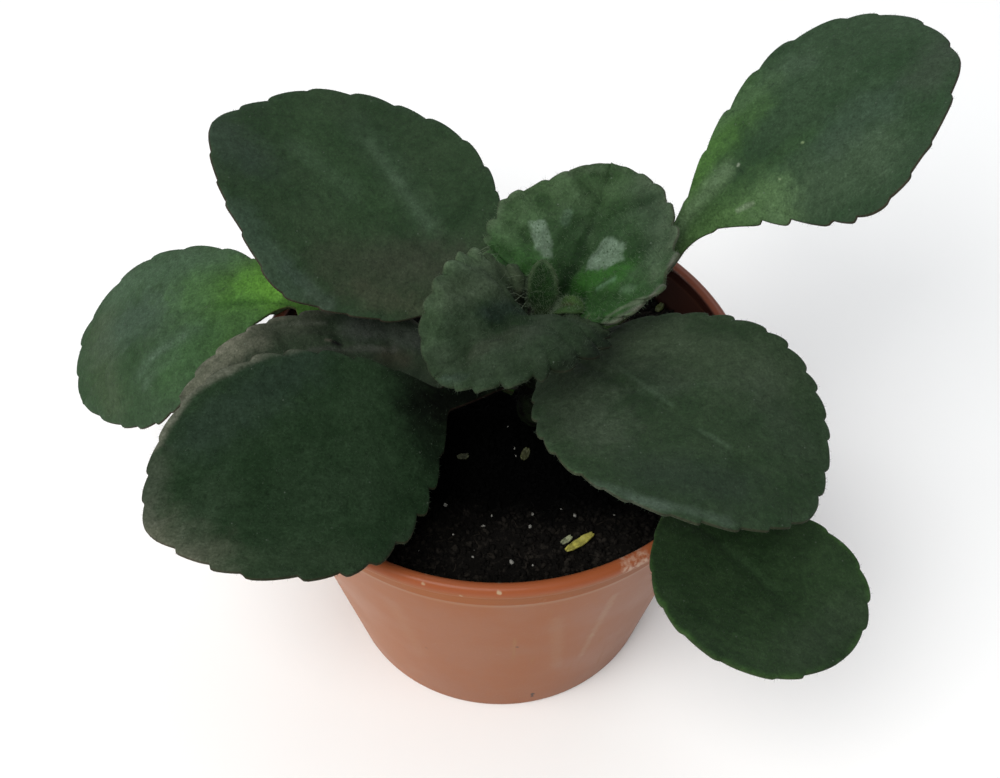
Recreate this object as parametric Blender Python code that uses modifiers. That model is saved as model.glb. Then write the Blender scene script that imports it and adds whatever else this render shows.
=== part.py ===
"""A young primulina growing in a small tapered plastic pot.

Run it with: blender --background --python part.py
The pot stands on the plane z = 0 with the middle of its base at the origin, +Z up.
Sizes in the tables are in millimetres and degrees. Vertices are written in metres.
"""

import math

import bmesh
import bpy
import numpy as np
from mathutils import Vector, noise

MM = 0.001
GAP = 0.3  # clearance between pieces that touch

# Pot: a tapered nursery pot with a rolled lip and a shallow collar under it.
RIM_RADIUS = 45.0
POT_HEIGHT = 64.0
BASE_RADIUS = 30.0
WALL = 1.5
FLOOR = 2.0
LIP_HEIGHT = 2.6
LIP_WIDTH = 2.4
COLLAR_FOOT = 56.0
COLLAR_SET_BACK = 2.2
COLLAR_STEP = 0.5
EDGE_EASE = 0.4  # height over which each step of the outer wall is eased
LIP_STEPS = 4
POT_SIDES = 48
DRAIN_COUNT = 6
DRAIN_RADIUS = 3.0
DRAIN_CIRCLE = 19.0
DRAIN_SIDES = 12

# Potting mix: fills the pot to a little below the lip, with a crumbly top.
SOIL_LEVEL = 55.0
SOIL_RELIEF = 1.1
SOIL_DISH = 1.0
SOIL_LUMP = 6.0
SOIL_CRUMB = 2.7
SOIL_CRUMB_SHARE = 0.6
SOIL_RINGS = 9
SOIL_SIDES = 40
SOIL_SEED = 5

# Stem: a short thick crown stem, set a little right of the pot's middle.
STEM_X = 7.0
STEM_Y = 0.0
STEM_FOOT = 40.0
STEM_TOP = 79.6
STEM_DOME = 0.6
STEM_DOME_SHARE = 0.6  # radius of the dome's flat top as a share of the stem's
STEM_FOOT_RADIUS = 4.6
STEM_TOP_RADIUS = 2.4
STEM_SIDES = 14
STEM_SCAR_PITCH = 3.6
STEM_SCAR_BULGE = 0.3

# A dry chip of leaf lies on the potting mix near the front of the pot.
CHIP_PLACE = (13.0, -30.4)
CHIP_SIZE = (5.4, 1.8, 1.0)
CHIP_HEADING = 40.0

# Leaf build.
BLADE_THICKNESS = 0.8
STALK_HALF_WIDTH = 1.1  # of the petiole, and what it gains per mm of blade
STALK_GAIN = 0.02
STALK_DEPTH = 1.0  # keel under the petiole as a share of its half width
RIB_DEPTH = 0.75
FOOT_SWELL = 0.15
FOOT_LENGTH = 10.0
COLUMNS_PER_HALF = 3
STALK_STEP = 8.0
VEIN_SWEEP = 0.55  # how far a row runs forward from the midrib to the margin, as a share of its half width
VEIN_BEND = 1.4
TOOTH_PROFILE = ((0.0, 1.0), (0.42, 0.19), (0.8, 0.0))  # place along a tooth, share of its depth cut away
TOOTHLESS = 0.12  # share of the margin next to the petiole that has no teeth
FIRST_TOOTH = 0.4  # depth of the first tooth as a share, which grows to 1 over the next two
MIDRIB_STATIONS = 80
OUTLINE_STATIONS = 240
MARGIN_REACH = 0.3  # half the run over which the margin's direction is read

# Each leaf, in mm and degrees:
# root: height of the petiole's axis at the stem's own axis
# heading: compass angle from +X at the root     turn: its change over the blade
# pitch: climb at the root, the blade's base and the tip
# roll, twist: roll of the blade about its midrib, and its change towards the tip
# petiole: from the stem's axis to the blade     length, width: the blade
# base, tip: outline powers, small is blunt and large is narrow
# vee, edge: slope of the left and right half at the midrib and at the margin
# lean: share by which the left half is wider    teeth, depth: on each margin
LEAVES = {
    "leaf_back_left": dict(
        root=71, heading=141, pitch=(33, 16, 19), turn=23, roll=-15, twist=24, petiole=16.5, length=55.5,
        width=47, base=0.56, tip=0.60, vee=(0, 0), edge=(0, 0), lean=-0.05, teeth=10, depth=1.0,
        colour=(0.022, 0.052, 0.026),
    ),
    "leaf_left": dict(
        root=60.5, heading=162, pitch=(14, 3, -55), turn=56, roll=-10, twist=20, petiole=47, length=51,
        width=40, base=1.05, tip=0.66, vee=(0, 0), edge=(-16, -10), lean=0.02, teeth=9, depth=0.6,
        colour=(0.034, 0.085, 0.040),
    ),
    "leaf_front_left": dict(
        root=70.5, heading=-146, pitch=(-4, 12, -5), turn=-4, roll=-23, twist=33, petiole=20, length=55.5,
        width=47, base=0.86, tip=0.65, vee=(-1, -1), edge=(10, 8), lean=0.08, teeth=10, depth=1.1,
        colour=(0.020, 0.046, 0.026),
    ),
    "leaf_low_left": dict(
        root=64.5, heading=185, pitch=(12, 14, -22), turn=-1, roll=-5, twist=0, petiole=16.5, length=48.5,
        width=30.5, base=0.62, tip=0.65, vee=(0, 0), edge=(3, 3), lean=0.14, teeth=9, depth=0.8,
        colour=(0.036, 0.048, 0.030),
    ),
    "leaf_back_right": dict(
        root=66.5, heading=31, pitch=(11, 52, 23), turn=-39, roll=17, twist=-24, petiole=31.5, length=59.5,
        width=47, base=1.65, tip=0.69, vee=(-1, -9), edge=(-6, 8), lean=-0.09, teeth=9, depth=1.0,
        colour=(0.036, 0.085, 0.030),
    ),
    "leaf_front_right": dict(
        root=72, heading=-51, pitch=(42, 27, -14), turn=11, roll=5, twist=-19, petiole=6, length=56,
        width=47.5, base=0.68, tip=0.60, vee=(0, 0), edge=(4, 4), lean=0.09, teeth=11, depth=1.0,
        colour=(0.020, 0.048, 0.026),
    ),
    "leaf_low_right": dict(
        root=63, heading=-54, pitch=(3, 11, -9), turn=6, roll=1, twist=-18, petiole=37, length=39,
        width=36.5, base=0.79, tip=0.45, vee=(0, 0), edge=(11, 11), lean=-0.10, teeth=7, depth=0.6,
        colour=(0.022, 0.060, 0.022),
    ),
    "leaf_crown_back": dict(
        root=75.8, heading=51, pitch=(37, 42, 26), turn=26, roll=-12, twist=10, petiole=6.5, length=26,
        width=41, base=0.24, tip=0.65, vee=(26, 22), edge=(14, 33), lean=-0.18, teeth=9, depth=0.9,
        colour=(0.026, 0.066, 0.028),
    ),
    "leaf_crown_front": dict(
        root=78.8, heading=-116, pitch=(33, 53, -30), turn=-30, roll=-1, twist=4, petiole=6, length=25,
        width=32.5, base=0.25, tip=0.48, vee=(29, 38), edge=(-8, 27), lean=0.07, teeth=8, depth=0.9,
        colour=(0.026, 0.056, 0.030),
    ),
    "leaf_bud_upright": dict(
        root=80.6, foot=(0.2, 0.2), heading=95, pitch=(84, 82, 70), turn=0, roll=0, twist=0, petiole=1.5,
        length=10, width=6.2, base=0.60, tip=0.55, vee=(10, 10), edge=(50, 50), lean=0, teeth=3, depth=0.2,
        colour=(0.030, 0.060, 0.026),
    ),
    "leaf_bud_curled": dict(
        root=80.6, foot=(1.7, -1.5), heading=-32, pitch=(60, 86, -42), turn=24, roll=0, twist=0, petiole=3.0,
        length=5.8, width=3.6, base=0.5, tip=0.5, vee=(20, 20), edge=(-10, -10), lean=0, teeth=3, depth=0.2,
        colour=(0.050, 0.075, 0.026),
    ),
}


def clear_scene():
    for obj in list(bpy.data.objects):
        bpy.data.objects.remove(obj)


def new_collection(name):
    collection = bpy.data.collections.new(name)
    bpy.context.scene.collection.children.link(collection)
    return collection


def make_material(name, colour, roughness):
    material = bpy.data.materials.new(name)
    material.use_nodes = True
    shader = material.node_tree.nodes["Principled BSDF"]
    shader.inputs["Base Color"].default_value = (*colour, 1.0)
    shader.inputs["Roughness"].default_value = roughness
    shader.inputs["Metallic"].default_value = 0.0
    return material


def mesh_object(name, bm, collection, material=None):
    """A linked, smooth mesh object from a bmesh drawn in millimetres."""
    bmesh.ops.scale(bm, vec=(MM, MM, MM), verts=bm.verts)
    bmesh.ops.recalc_face_normals(bm, faces=bm.faces)
    mesh = bpy.data.meshes.new(name)
    bm.to_mesh(mesh)
    bm.free()
    obj = bpy.data.objects.new(name, mesh)
    collection.objects.link(obj)
    if material:
        mesh.materials.append(material)
    mesh.shade_smooth()
    mesh.set_sharp_from_angle(angle=math.radians(40))
    return obj


def cut(obj, cutter):
    cutter.hide_render = True
    cutter.display_type = "WIRE"
    modifier = obj.modifiers.new("cut_" + cutter.name, "BOOLEAN")
    modifier.operation = "DIFFERENCE"
    modifier.solver = "EXACT"
    modifier.object = cutter


def upright_cylinder(name, radius, foot, top, place, sides, collection):
    bm = bmesh.new()
    bmesh.ops.create_cone(
        bm, cap_ends=True, segments=sides, radius1=radius, radius2=radius, depth=top - foot
    )
    bmesh.ops.translate(bm, vec=(*place, (foot + top) / 2), verts=bm.verts)
    return mesh_object(name, bm, collection)


def ring_edges(bm, verts):
    """The closed ring of edges through verts, made where it is missing."""
    pairs = zip(verts, verts[1:] + verts[:1])
    return [bm.edges.get(pair) or bm.edges.new(pair) for pair in pairs]


def skin_rings(bm, rings):
    """Faces between successive rings, and a cap on the first and the last."""
    for lower, upper in zip(rings, rings[1:]):
        bmesh.ops.bridge_loops(bm, edges=ring_edges(bm, lower) + ring_edges(bm, upper))
    bmesh.ops.contextual_create(bm, geom=ring_edges(bm, rings[0]))
    bmesh.ops.contextual_create(bm, geom=ring_edges(bm, rings[-1]))


def wall_radius(height):
    """Outer radius of the pot's tapered wall at a height."""
    top_radius = RIM_RADIUS - COLLAR_SET_BACK - COLLAR_STEP
    return BASE_RADIUS + (top_radius - BASE_RADIUS) * height / COLLAR_FOOT


def inner_radius(height):
    return wall_radius(height) - WALL


def pot_profile():
    """Half section of the pot, from the middle of its floor over the lip to the middle of its base."""
    lip_low = POT_HEIGHT - LIP_HEIGHT
    lip_round = LIP_WIDTH / 2
    points = [
        (0, FLOOR),
        (inner_radius(FLOOR), FLOOR),
        (inner_radius(COLLAR_FOOT), COLLAR_FOOT),
        (RIM_RADIUS - LIP_WIDTH, lip_low),
    ]
    for step in range(LIP_STEPS + 1):
        angle = math.pi * (1 - step / LIP_STEPS)
        radius = RIM_RADIUS - lip_round + lip_round * math.cos(angle)
        points.append((radius, POT_HEIGHT - lip_round + lip_round * math.sin(angle)))
    points += [
        (RIM_RADIUS, lip_low + EDGE_EASE),
        (RIM_RADIUS - COLLAR_SET_BACK, lip_low - EDGE_EASE),
        (RIM_RADIUS - COLLAR_SET_BACK, COLLAR_FOOT + EDGE_EASE),
        (wall_radius(COLLAR_FOOT), COLLAR_FOOT - EDGE_EASE),
        (wall_radius(EDGE_EASE), EDGE_EASE),
        (BASE_RADIUS - EDGE_EASE, 0),
        (0, 0),
    ]
    return points


def make_pot(collection, cutters):
    """The pot: its half section turned about the z axis, with round drain holes in the floor."""
    bm = bmesh.new()
    verts = [bm.verts.new((radius * MM, 0, height * MM)) for radius, height in pot_profile()]
    for pair in zip(verts, verts[1:]):
        bm.edges.new(pair)
    mesh = bpy.data.meshes.new("pot")
    bm.to_mesh(mesh)
    bm.free()
    pot = bpy.data.objects.new("pot", mesh)
    collection.objects.link(pot)
    mesh.materials.append(make_material("terracotta_plastic", (0.42, 0.18, 0.10), 0.45))
    screw = pot.modifiers.new("turn", "SCREW")
    screw.steps = POT_SIDES
    screw.render_steps = POT_SIDES
    screw.use_merge_vertices = True
    screw.merge_threshold = 0.00005
    screw.use_normal_calculate = True
    for index in range(DRAIN_COUNT):
        angle = 2 * math.pi * (index + 0.5) / DRAIN_COUNT
        place = (DRAIN_CIRCLE * math.cos(angle), DRAIN_CIRCLE * math.sin(angle))
        name = f"drain_cutter_{index}"
        cut(pot, upright_cylinder(name, DRAIN_RADIUS, -FLOOR, 2 * FLOOR, place, DRAIN_SIDES, cutters))


def soil_height(x, y):
    """Crumbly top of the potting mix, a little higher by the wall than at the middle."""
    place = Vector((x, y, SOIL_SEED))
    lumps = noise.noise(place / SOIL_LUMP) + SOIL_CRUMB_SHARE * noise.noise(place / SOIL_CRUMB)
    return SOIL_LEVEL + SOIL_RELIEF * lumps + SOIL_DISH * (math.hypot(x, y) / RIM_RADIUS) ** 2


def make_soil(collection, cutters):
    """A plug of potting mix with a plain hole for the stem."""
    bm = bmesh.new()
    top_radius = inner_radius(SOIL_LEVEL) - GAP
    foot = FLOOR + GAP
    foot_radius = inner_radius(foot) - GAP
    rings = []
    for ring in range(1, SOIL_RINGS + 1):
        radius = top_radius * ring / SOIL_RINGS
        points = []
        for side in range(SOIL_SIDES):
            angle = 2 * math.pi * (side + 0.5 * (ring % 2)) / SOIL_SIDES
            x, y = radius * math.cos(angle), radius * math.sin(angle)
            points.append(bm.verts.new((x, y, soil_height(x, y) if ring < SOIL_RINGS else SOIL_LEVEL)))
        rings.append(points)
    shrink = foot_radius / top_radius
    rings.append([bm.verts.new((vert.co.x * shrink, vert.co.y * shrink, foot)) for vert in rings[-1]])
    skin_rings(bm, rings)
    bmesh.ops.triangulate(bm, faces=bm.faces)
    material = make_material("potting_mix", (0.012, 0.010, 0.009), 0.95)
    soil = mesh_object("potting_mix", bm, collection, material)
    hole = stem_radius(STEM_FOOT) + STEM_SCAR_BULGE + GAP
    place = (STEM_X, STEM_Y)
    cut(soil, upright_cylinder("stem_cutter", hole, STEM_FOOT - GAP, STEM_TOP, place, STEM_SIDES, cutters))


def stem_radius(height):
    share = (height - STEM_FOOT) / (STEM_TOP - STEM_FOOT)
    return STEM_FOOT_RADIUS + (STEM_TOP_RADIUS - STEM_FOOT_RADIUS) * share


def make_stem(collection):
    """A short stem ringed with old leaf scars, closed by a low dome."""
    bm = bmesh.new()
    scars = round((STEM_TOP - STEM_FOOT) / STEM_SCAR_PITCH)
    levels = []
    for step in range(2 * scars + 1):
        height = STEM_FOOT + (STEM_TOP - STEM_FOOT) * step / (2 * scars)
        levels.append((height, stem_radius(height) + STEM_SCAR_BULGE * (step % 2)))
    levels.append((STEM_TOP + STEM_DOME, STEM_TOP_RADIUS * STEM_DOME_SHARE))
    turns = [2 * math.pi * side / STEM_SIDES for side in range(STEM_SIDES)]
    rings = []
    for height, radius in levels:
        points = [(STEM_X + radius * math.cos(a), STEM_Y + radius * math.sin(a), height) for a in turns]
        rings.append([bm.verts.new(point) for point in points])
    skin_rings(bm, rings)
    mesh_object("stem", bm, collection, make_material("stem_green", (0.06, 0.09, 0.03), 0.7))


def make_chip(collection):
    """The dry chip: a small flat oval that lies just clear of the highest crumb under it."""
    bm = bmesh.new()
    bmesh.ops.create_icosphere(bm, subdivisions=2, radius=0.5)
    bmesh.ops.scale(bm, vec=CHIP_SIZE, verts=bm.verts)
    turn = math.radians(CHIP_HEADING)
    x, y = CHIP_PLACE
    for vert in bm.verts:
        along, across = vert.co.x, vert.co.y
        vert.co.x = x + along * math.cos(turn) - across * math.sin(turn)
        vert.co.y = y + along * math.sin(turn) + across * math.cos(turn)
    crumb = max(soil_height(vert.co.x, vert.co.y) for vert in bm.verts)
    bmesh.ops.translate(bm, vec=(0, 0, crumb + GAP + CHIP_SIZE[2] / 2), verts=bm.verts)
    mesh_object("leaf_chip", bm, collection, make_material("dry_leaf", (0.42, 0.42, 0.10), 0.7))


def midrib(leaf):
    """Distance, place, sideways and upward directions along the petiole and midrib."""
    petiole, length = leaf["petiole"], leaf["length"]
    root, blade_base, tip = leaf["pitch"]
    distance = np.linspace(0, petiole + length, MIDRIB_STATIONS)
    before = np.clip(distance / petiole, 0, 1)
    along = np.clip((distance - petiole) / length, 0, 1)
    pitch = np.radians(root + (blade_base - root) * before + (tip - blade_base) * along)
    heading = np.radians(leaf["heading"] + leaf["turn"] * along)
    roll = np.radians(leaf["roll"] + leaf["twist"] * along)[:, None]
    ahead = np.stack([np.cos(pitch) * np.cos(heading), np.cos(pitch) * np.sin(heading), np.sin(pitch)], 1)
    level = np.stack([-np.sin(heading), np.cos(heading), 0 * heading], 1)
    upward = np.cross(ahead, level)
    foot_x, foot_y = leaf.get("foot", (0, 0))
    start = np.array([STEM_X + foot_x, STEM_Y + foot_y, leaf["root"]])
    moves = (ahead[1:] + ahead[:-1]) / 2 * (distance[1] - distance[0])
    place = start + np.vstack([np.zeros(3), np.cumsum(moves, 0)])
    side = level * np.cos(roll) + upward * np.sin(roll)
    up = upward * np.cos(roll) - level * np.sin(roll)
    return distance, place, side, up


def blade_point(leaf, rib, x, y):
    """Place and upward direction on the blade's middle surface, x along the midrib from the
    blade's base and y across it. Each half bends evenly from its vee slope to its edge slope."""
    distance, place, side, up = rib
    centre, across, above = (
        np.array([np.interp(leaf["petiole"] + x, distance, column) for column in table.T])
        for table in (place, side, up)
    )
    half = leaf["width"] / 2
    left = y >= 0
    vee, edge = (math.radians(leaf[name][0 if left else 1]) for name in ("vee", "edge"))
    bend = edge - vee
    slope = vee + bend * abs(y) / half
    if bend:
        out = (math.sin(slope) - math.sin(vee)) / bend * half
        rise = (math.cos(vee) - math.cos(slope)) / bend * half
    else:
        out, rise = abs(y) * math.cos(vee), abs(y) * math.sin(vee)
    outward = across if left else -across
    point = centre + outward * out + above * rise
    return point, above * math.cos(slope) - outward * math.sin(slope)


def blade_shape(leaf, share):
    """Half width as a share of the greatest, share of the way from base to tip."""
    base, tip = leaf["base"], leaf["tip"]
    widest = base / (base + tip)
    return share**base * (1 - share) ** tip / (widest**base * (1 - widest) ** tip)


def stalk_half_width(leaf):
    return STALK_HALF_WIDTH + STALK_GAIN * leaf["length"]


def blade_outline(leaf):
    """Points (x, half width) of the toothless outline from base to tip, and their arc lengths."""
    share = (1 - np.cos(np.linspace(0, np.pi, OUTLINE_STATIONS))) / 2
    stalk = stalk_half_width(leaf) * (1 - share)
    half = np.hypot(leaf["width"] / 2 * blade_shape(leaf, share), stalk)
    table = np.stack([leaf["length"] * share, half], 1)
    arc = np.concatenate([[0], np.cumsum(np.hypot(*np.diff(table, axis=0).T))])
    return table, arc


def blade_rows(leaf):
    """Rows from base to tip: x on the midrib, then x and half width at the margin, which sweeps
    forward of the midrib as the side veins do. The margin is cut into teeth that point to the tip."""
    table, arc = blade_outline(leaf)
    total = arc[-1]
    bare = TOOTHLESS * total
    tooth = (total - bare) / leaf["teeth"]
    stops = [(bare * step / 3, 0.0) for step in range(3)]
    for index in range(leaf["teeth"]):
        grown = min(1.0, FIRST_TOOTH + index / 3)
        stops += [(bare + tooth * (index + phase), share * grown) for phase, share in TOOTH_PROFILE]
    stops.append((total - MARGIN_REACH, 0.0))
    rows = []
    for place, share in stops:
        before, here, after = (
            np.array([np.interp(place + shift, arc, column) for column in table.T])
            for shift in (-MARGIN_REACH, 0, MARGIN_REACH)
        )
        run = (after - before) / np.hypot(*(after - before))
        inward = np.array([run[1], -run[0]])
        margin = here + inward * share * leaf["depth"]
        rows.append((here[0] - VEIN_SWEEP * place / total * here[1], *margin))
    return rows


def ring_points(leaf, rib, stations):
    """Closed ring over the top from left to right and back underneath. Each station is
    x, y and the depth of the keel under it."""
    top, bottom = [], []
    for x, y, keel in stations:
        point, normal = blade_point(leaf, rib, x, y)
        top.append(point + normal * BLADE_THICKNESS / 2)
        bottom.append(point - normal * (BLADE_THICKNESS / 2 + keel))
    return top + bottom[::-1]


def blade_ring(leaf, rib, row):
    spine, edge_x, edge_y = row
    stalk = stalk_half_width(leaf)
    ridge = min(0.5, stalk / edge_y)
    shares = (1.0, 0.5 + ridge / 2, ridge, 0.0)
    fade = max(0.0, 1 - spine / leaf["length"])
    stations = []
    for sign in (1, -1):
        for share in shares if sign > 0 else shares[-2::-1]:
            x = spine + (edge_x - spine) * share**VEIN_BEND
            keel = STALK_DEPTH * stalk * fade**RIB_DEPTH if share == 0 else 0.0
            stations.append((x, sign * edge_y * share * (1 + sign * leaf["lean"]), keel))
    return ring_points(leaf, rib, stations)


def stalk_ring(leaf, rib, distance):
    """Section of the petiole: flat on top and round underneath, swollen towards its foot."""
    half = stalk_half_width(leaf) * (1 + FOOT_SWELL * max(0.0, 1 - distance / FOOT_LENGTH))
    flat = dict(leaf, vee=(0, 0), edge=(0, 0))
    stations = []
    for column in range(COLUMNS_PER_HALF, -COLUMNS_PER_HALF - 1, -1):
        share = column / COLUMNS_PER_HALF
        keel = STALK_DEPTH * half * math.sqrt(1 - share * share)
        stations.append((distance - leaf["petiole"], half * share, keel))
    return ring_points(flat, rib, stations)


def stalk_start(leaf):
    """Distance along the petiole at which it clears the stem."""
    if leaf["root"] > STEM_TOP + STEM_DOME:
        return 0.0
    reach = stem_radius(leaf["root"]) + STEM_SCAR_BULGE + GAP
    return reach / math.cos(math.radians(leaf["pitch"][0]))


def skin_leaf(bm, rings):
    """Triangles between successive rings, split alike on both faces of the blade, and two caps."""
    loops = [[bm.verts.new(point) for point in ring] for ring in rings]
    count = len(loops[0])
    middle = COLUMNS_PER_HALF
    for near, far in zip(loops, loops[1:]):
        for index in range(count):
            after = (index + 1) % count
            column = index if index < count // 2 else count - 2 - index
            near_a, near_b, far_b, far_a = near[index], near[after], far[after], far[index]
            if (column < middle) == (index < count // 2):
                bm.faces.new((near_a, near_b, far_b))
                bm.faces.new((near_a, far_b, far_a))
            else:
                bm.faces.new((near_a, near_b, far_a))
                bm.faces.new((near_b, far_b, far_a))
    bm.faces.new(loops[0])
    bm.faces.new(loops[-1])


def make_leaf(name, leaf, collection):
    """One leaf lofted from its petiole's foot to its tip."""
    rib = midrib(leaf)
    start = stalk_start(leaf)
    run = leaf["petiole"] - start
    count = max(1, round(run / STALK_STEP))
    rings = [stalk_ring(leaf, rib, start + run * step / count) for step in range(count)]
    rings += [blade_ring(leaf, rib, row) for row in blade_rows(leaf)]
    bm = bmesh.new()
    skin_leaf(bm, rings)
    mesh_object(name, bm, collection, make_material(name, leaf["colour"], 0.6))


def main():
    clear_scene()
    plant = new_collection("primulina")
    cutters = new_collection("cutters")
    make_pot(plant, cutters)
    make_soil(plant, cutters)
    make_stem(plant)
    make_chip(plant)
    for name, leaf in LEAVES.items():
        make_leaf(name, leaf, plant)


main()
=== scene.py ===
# A young primulina in its pot: downy, scallop-edged leaves over dark potting mix.
# Sizes in the dictionaries are in millimetres and degrees unless a note says otherwise.
import math
import random

import bmesh
import bpy
import numpy as np
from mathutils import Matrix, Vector, noise


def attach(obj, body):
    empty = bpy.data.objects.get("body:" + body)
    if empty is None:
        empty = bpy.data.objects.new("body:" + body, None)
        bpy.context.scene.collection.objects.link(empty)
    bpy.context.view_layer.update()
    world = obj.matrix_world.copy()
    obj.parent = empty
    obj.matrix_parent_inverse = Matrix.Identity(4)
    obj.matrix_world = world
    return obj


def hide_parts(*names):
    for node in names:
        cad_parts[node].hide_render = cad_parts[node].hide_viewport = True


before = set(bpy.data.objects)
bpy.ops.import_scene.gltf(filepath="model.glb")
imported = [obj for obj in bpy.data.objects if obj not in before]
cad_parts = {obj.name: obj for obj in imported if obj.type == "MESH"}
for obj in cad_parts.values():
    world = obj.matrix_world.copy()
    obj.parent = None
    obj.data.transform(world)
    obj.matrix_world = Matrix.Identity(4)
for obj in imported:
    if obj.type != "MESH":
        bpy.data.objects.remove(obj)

mm = 0.001
perSquareCm = 1e4   # as a number per square metre
scene = bpy.context.scene
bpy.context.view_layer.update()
print("frame:", len(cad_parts), "nodes")


# Node trees

def joining(operation, swapped=False):
    def act(self, other):
        pair = {0: other, 1: self} if swapped else {0: self, 1: other}
        return self.tree.node("ShaderNodeMath", {"operation": operation}, pair)
    return act


class Wire:
    # a socket that can stand in a sum
    def __init__(self, tree, socket):
        self.tree = tree
        self.socket = socket

    __add__ = joining("ADD")
    __radd__ = joining("ADD", True)
    __sub__ = joining("SUBTRACT")
    __rsub__ = joining("SUBTRACT", True)
    __mul__ = joining("MULTIPLY")
    __rmul__ = joining("MULTIPLY", True)
    __truediv__ = joining("DIVIDE")
    __rtruediv__ = joining("DIVIDE", True)
    __pow__ = joining("POWER")


class NodeBench:
    # every node comes from node(): its settings are set first, then the values or links of its sockets
    def __init__(self, tree):
        self.tree = tree

    def node(self, kind, settings=None, sockets=None, take=0):
        made = self.tree.nodes.new(kind)
        for name, value in (settings or {}).items():
            setattr(made, name, value)
        for key, value in (sockets or {}).items():
            self.feed(made.inputs[key], value)
        return Wire(self, made.outputs[take])

    def feed(self, socket, value):
        if isinstance(value, Wire):
            self.tree.links.new(value.socket, socket)
        elif socket.type == "RGBA" and len(value) == 3:
            socket.default_value = (*value, 1.0)
        else:
            socket.default_value = value

    def calc(self, operation, *values):
        return self.node("ShaderNodeMath", {"operation": operation}, dict(enumerate(values)))

    def fade(self, value, start, end):
        # 0 at start, 1 at end, eased, and clamped outside them
        settings = {"interpolation_type": "SMOOTHSTEP"}
        return self.node("ShaderNodeMapRange", settings, {"Value": value, "From Min": start, "From Max": end})

    def parts(self, vector):
        made = self.node("ShaderNodeSeparateXYZ", {}, {0: vector}).socket.node
        return [Wire(self, output) for output in made.outputs]

    def vector(self, x, y, z):
        return self.node("ShaderNodeCombineXYZ", {}, {0: x, 1: y, 2: z})

    def stretch(self, vector, scale):
        return self.node("ShaderNodeVectorMath", {"operation": "MULTIPLY"}, {0: vector, 1: scale})

    def grain(self, vector, size, detail=2.0, roughness=0.5, take=0):
        # cloudy noise whose lumps are about size mm across; take=1 gives a colour
        sockets = {"Vector": vector, "Scale": 1 / (size * mm), "Detail": detail, "Roughness": roughness}
        return self.node("ShaderNodeTexNoise", {}, sockets, take)


class Finish(NodeBench):
    # one procedural material on a Principled shader
    def __init__(self, name):
        self.material = bpy.data.materials.new(name)
        self.material.use_nodes = True
        super().__init__(self.material.node_tree)
        self.shader = self.tree.nodes["Principled BSDF"]
        self.place = self.node("ShaderNodeTexCoord", {}, {}, 3)

    def attribute(self, name):
        return self.node("ShaderNodeAttribute", {"attribute_name": name}, {}, 2)

    def cells(self, vector, size, feature="F1", take=0):
        sockets = {"Vector": vector, "Scale": 1 / (size * mm)}
        return self.node("ShaderNodeTexVoronoi", {"feature": feature}, sockets, take)

    def mix(self, share, first, second, blend="MIX"):
        settings = {"data_type": "RGBA", "blend_type": blend, "clamp_factor": True}
        return self.node("ShaderNodeMix", settings, {0: share, 6: first, 7: second}, 2)

    def specks(self, vector, size, radius, kept):
        # round dots, one to a cell, in the given share of the cells
        near = self.cells(vector, size)
        lot = self.parts(self.cells(vector, size, take=1))[0]
        return self.fade(near, radius / size, radius / size * 0.5) * self.calc("LESS_THAN", lot, kept)

    def bump(self, height, depth):
        return self.node("ShaderNodeBump", {}, {"Height": height, "Distance": depth * mm, "Strength": 1.0})

    def finish(self, colour, roughness, normal=None, **fixed):
        self.feed(self.shader.inputs["Base Color"], colour)
        self.feed(self.shader.inputs["Roughness"], roughness)
        if normal:
            self.feed(self.shader.inputs["Normal"], normal)
        for name, value in fixed.items():
            self.feed(self.shader.inputs[name.replace("_", " ")], value)
        return self.material


class Grower(NodeBench):
    # a Geometry Nodes tree with named sizes, which works on the mesh that its object holds
    def __init__(self, name):
        super().__init__(bpy.data.node_groups.new(name, "GeometryNodeTree"))
        self.tree.interface.new_socket("Geometry", in_out="INPUT", socket_type="NodeSocketGeometry")
        self.tree.interface.new_socket("Geometry", in_out="OUTPUT", socket_type="NodeSocketGeometry")
        self.entry = self.tree.nodes.new("NodeGroupInput")
        self.exit = self.tree.nodes.new("NodeGroupOutput")
        self.sockets = {}
        self.ground = Wire(self, self.entry.outputs["Geometry"])

    def size(self, name, kind="Float"):
        socket = self.tree.interface.new_socket(name, in_out="INPUT", socket_type="NodeSocket" + kind)
        self.sockets[name] = socket.identifier
        return Wire(self, self.entry.outputs[name])

    def random(self, low, high, seed, kind="FLOAT"):
        first, take = {"FLOAT": (2, 1), "FLOAT_VECTOR": (0, 0)}[kind]
        sockets = {first: low, first + 1: high, "Seed": seed}
        return self.node("FunctionNodeRandomValue", {"data_type": kind}, sockets, take)

    def finish(self, geometry, material):
        whole = self.node("GeometryNodeRealizeInstances", {}, {"Geometry": geometry})
        dressed = self.node("GeometryNodeSetMaterial", {}, {"Geometry": whole, "Material": material})
        self.feed(self.exit.inputs["Geometry"], dressed)

    def grow(self, name, ground, sizes):
        # runs the tree on a mesh and keeps the result as a plain mesh object
        piece = newPiece(name, ground)
        modifier = piece.modifiers.new("grow", "NODES")
        modifier.node_group = self.tree
        for label, value in sizes.items():
            modifier[self.sockets[label]] = value
        return settle(piece)


def newPiece(name, mesh):
    piece = bpy.data.objects.new(name, mesh)
    scene.collection.objects.link(piece)
    return piece


def settle(piece):
    # the modifiers' result becomes the piece's own mesh
    graph = bpy.context.evaluated_depsgraph_get()
    mesh = bpy.data.meshes.new_from_object(piece.evaluated_get(graph), depsgraph=graph)
    piece.modifiers.clear()
    piece.data = mesh
    mesh.shade_smooth()
    return piece


def smoothMesh(name, points, faces):
    mesh = bpy.data.meshes.new(name)
    mesh.from_pydata((np.asarray(points) * mm).tolist(), [], faces)
    mesh.shade_smooth()
    return mesh


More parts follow.
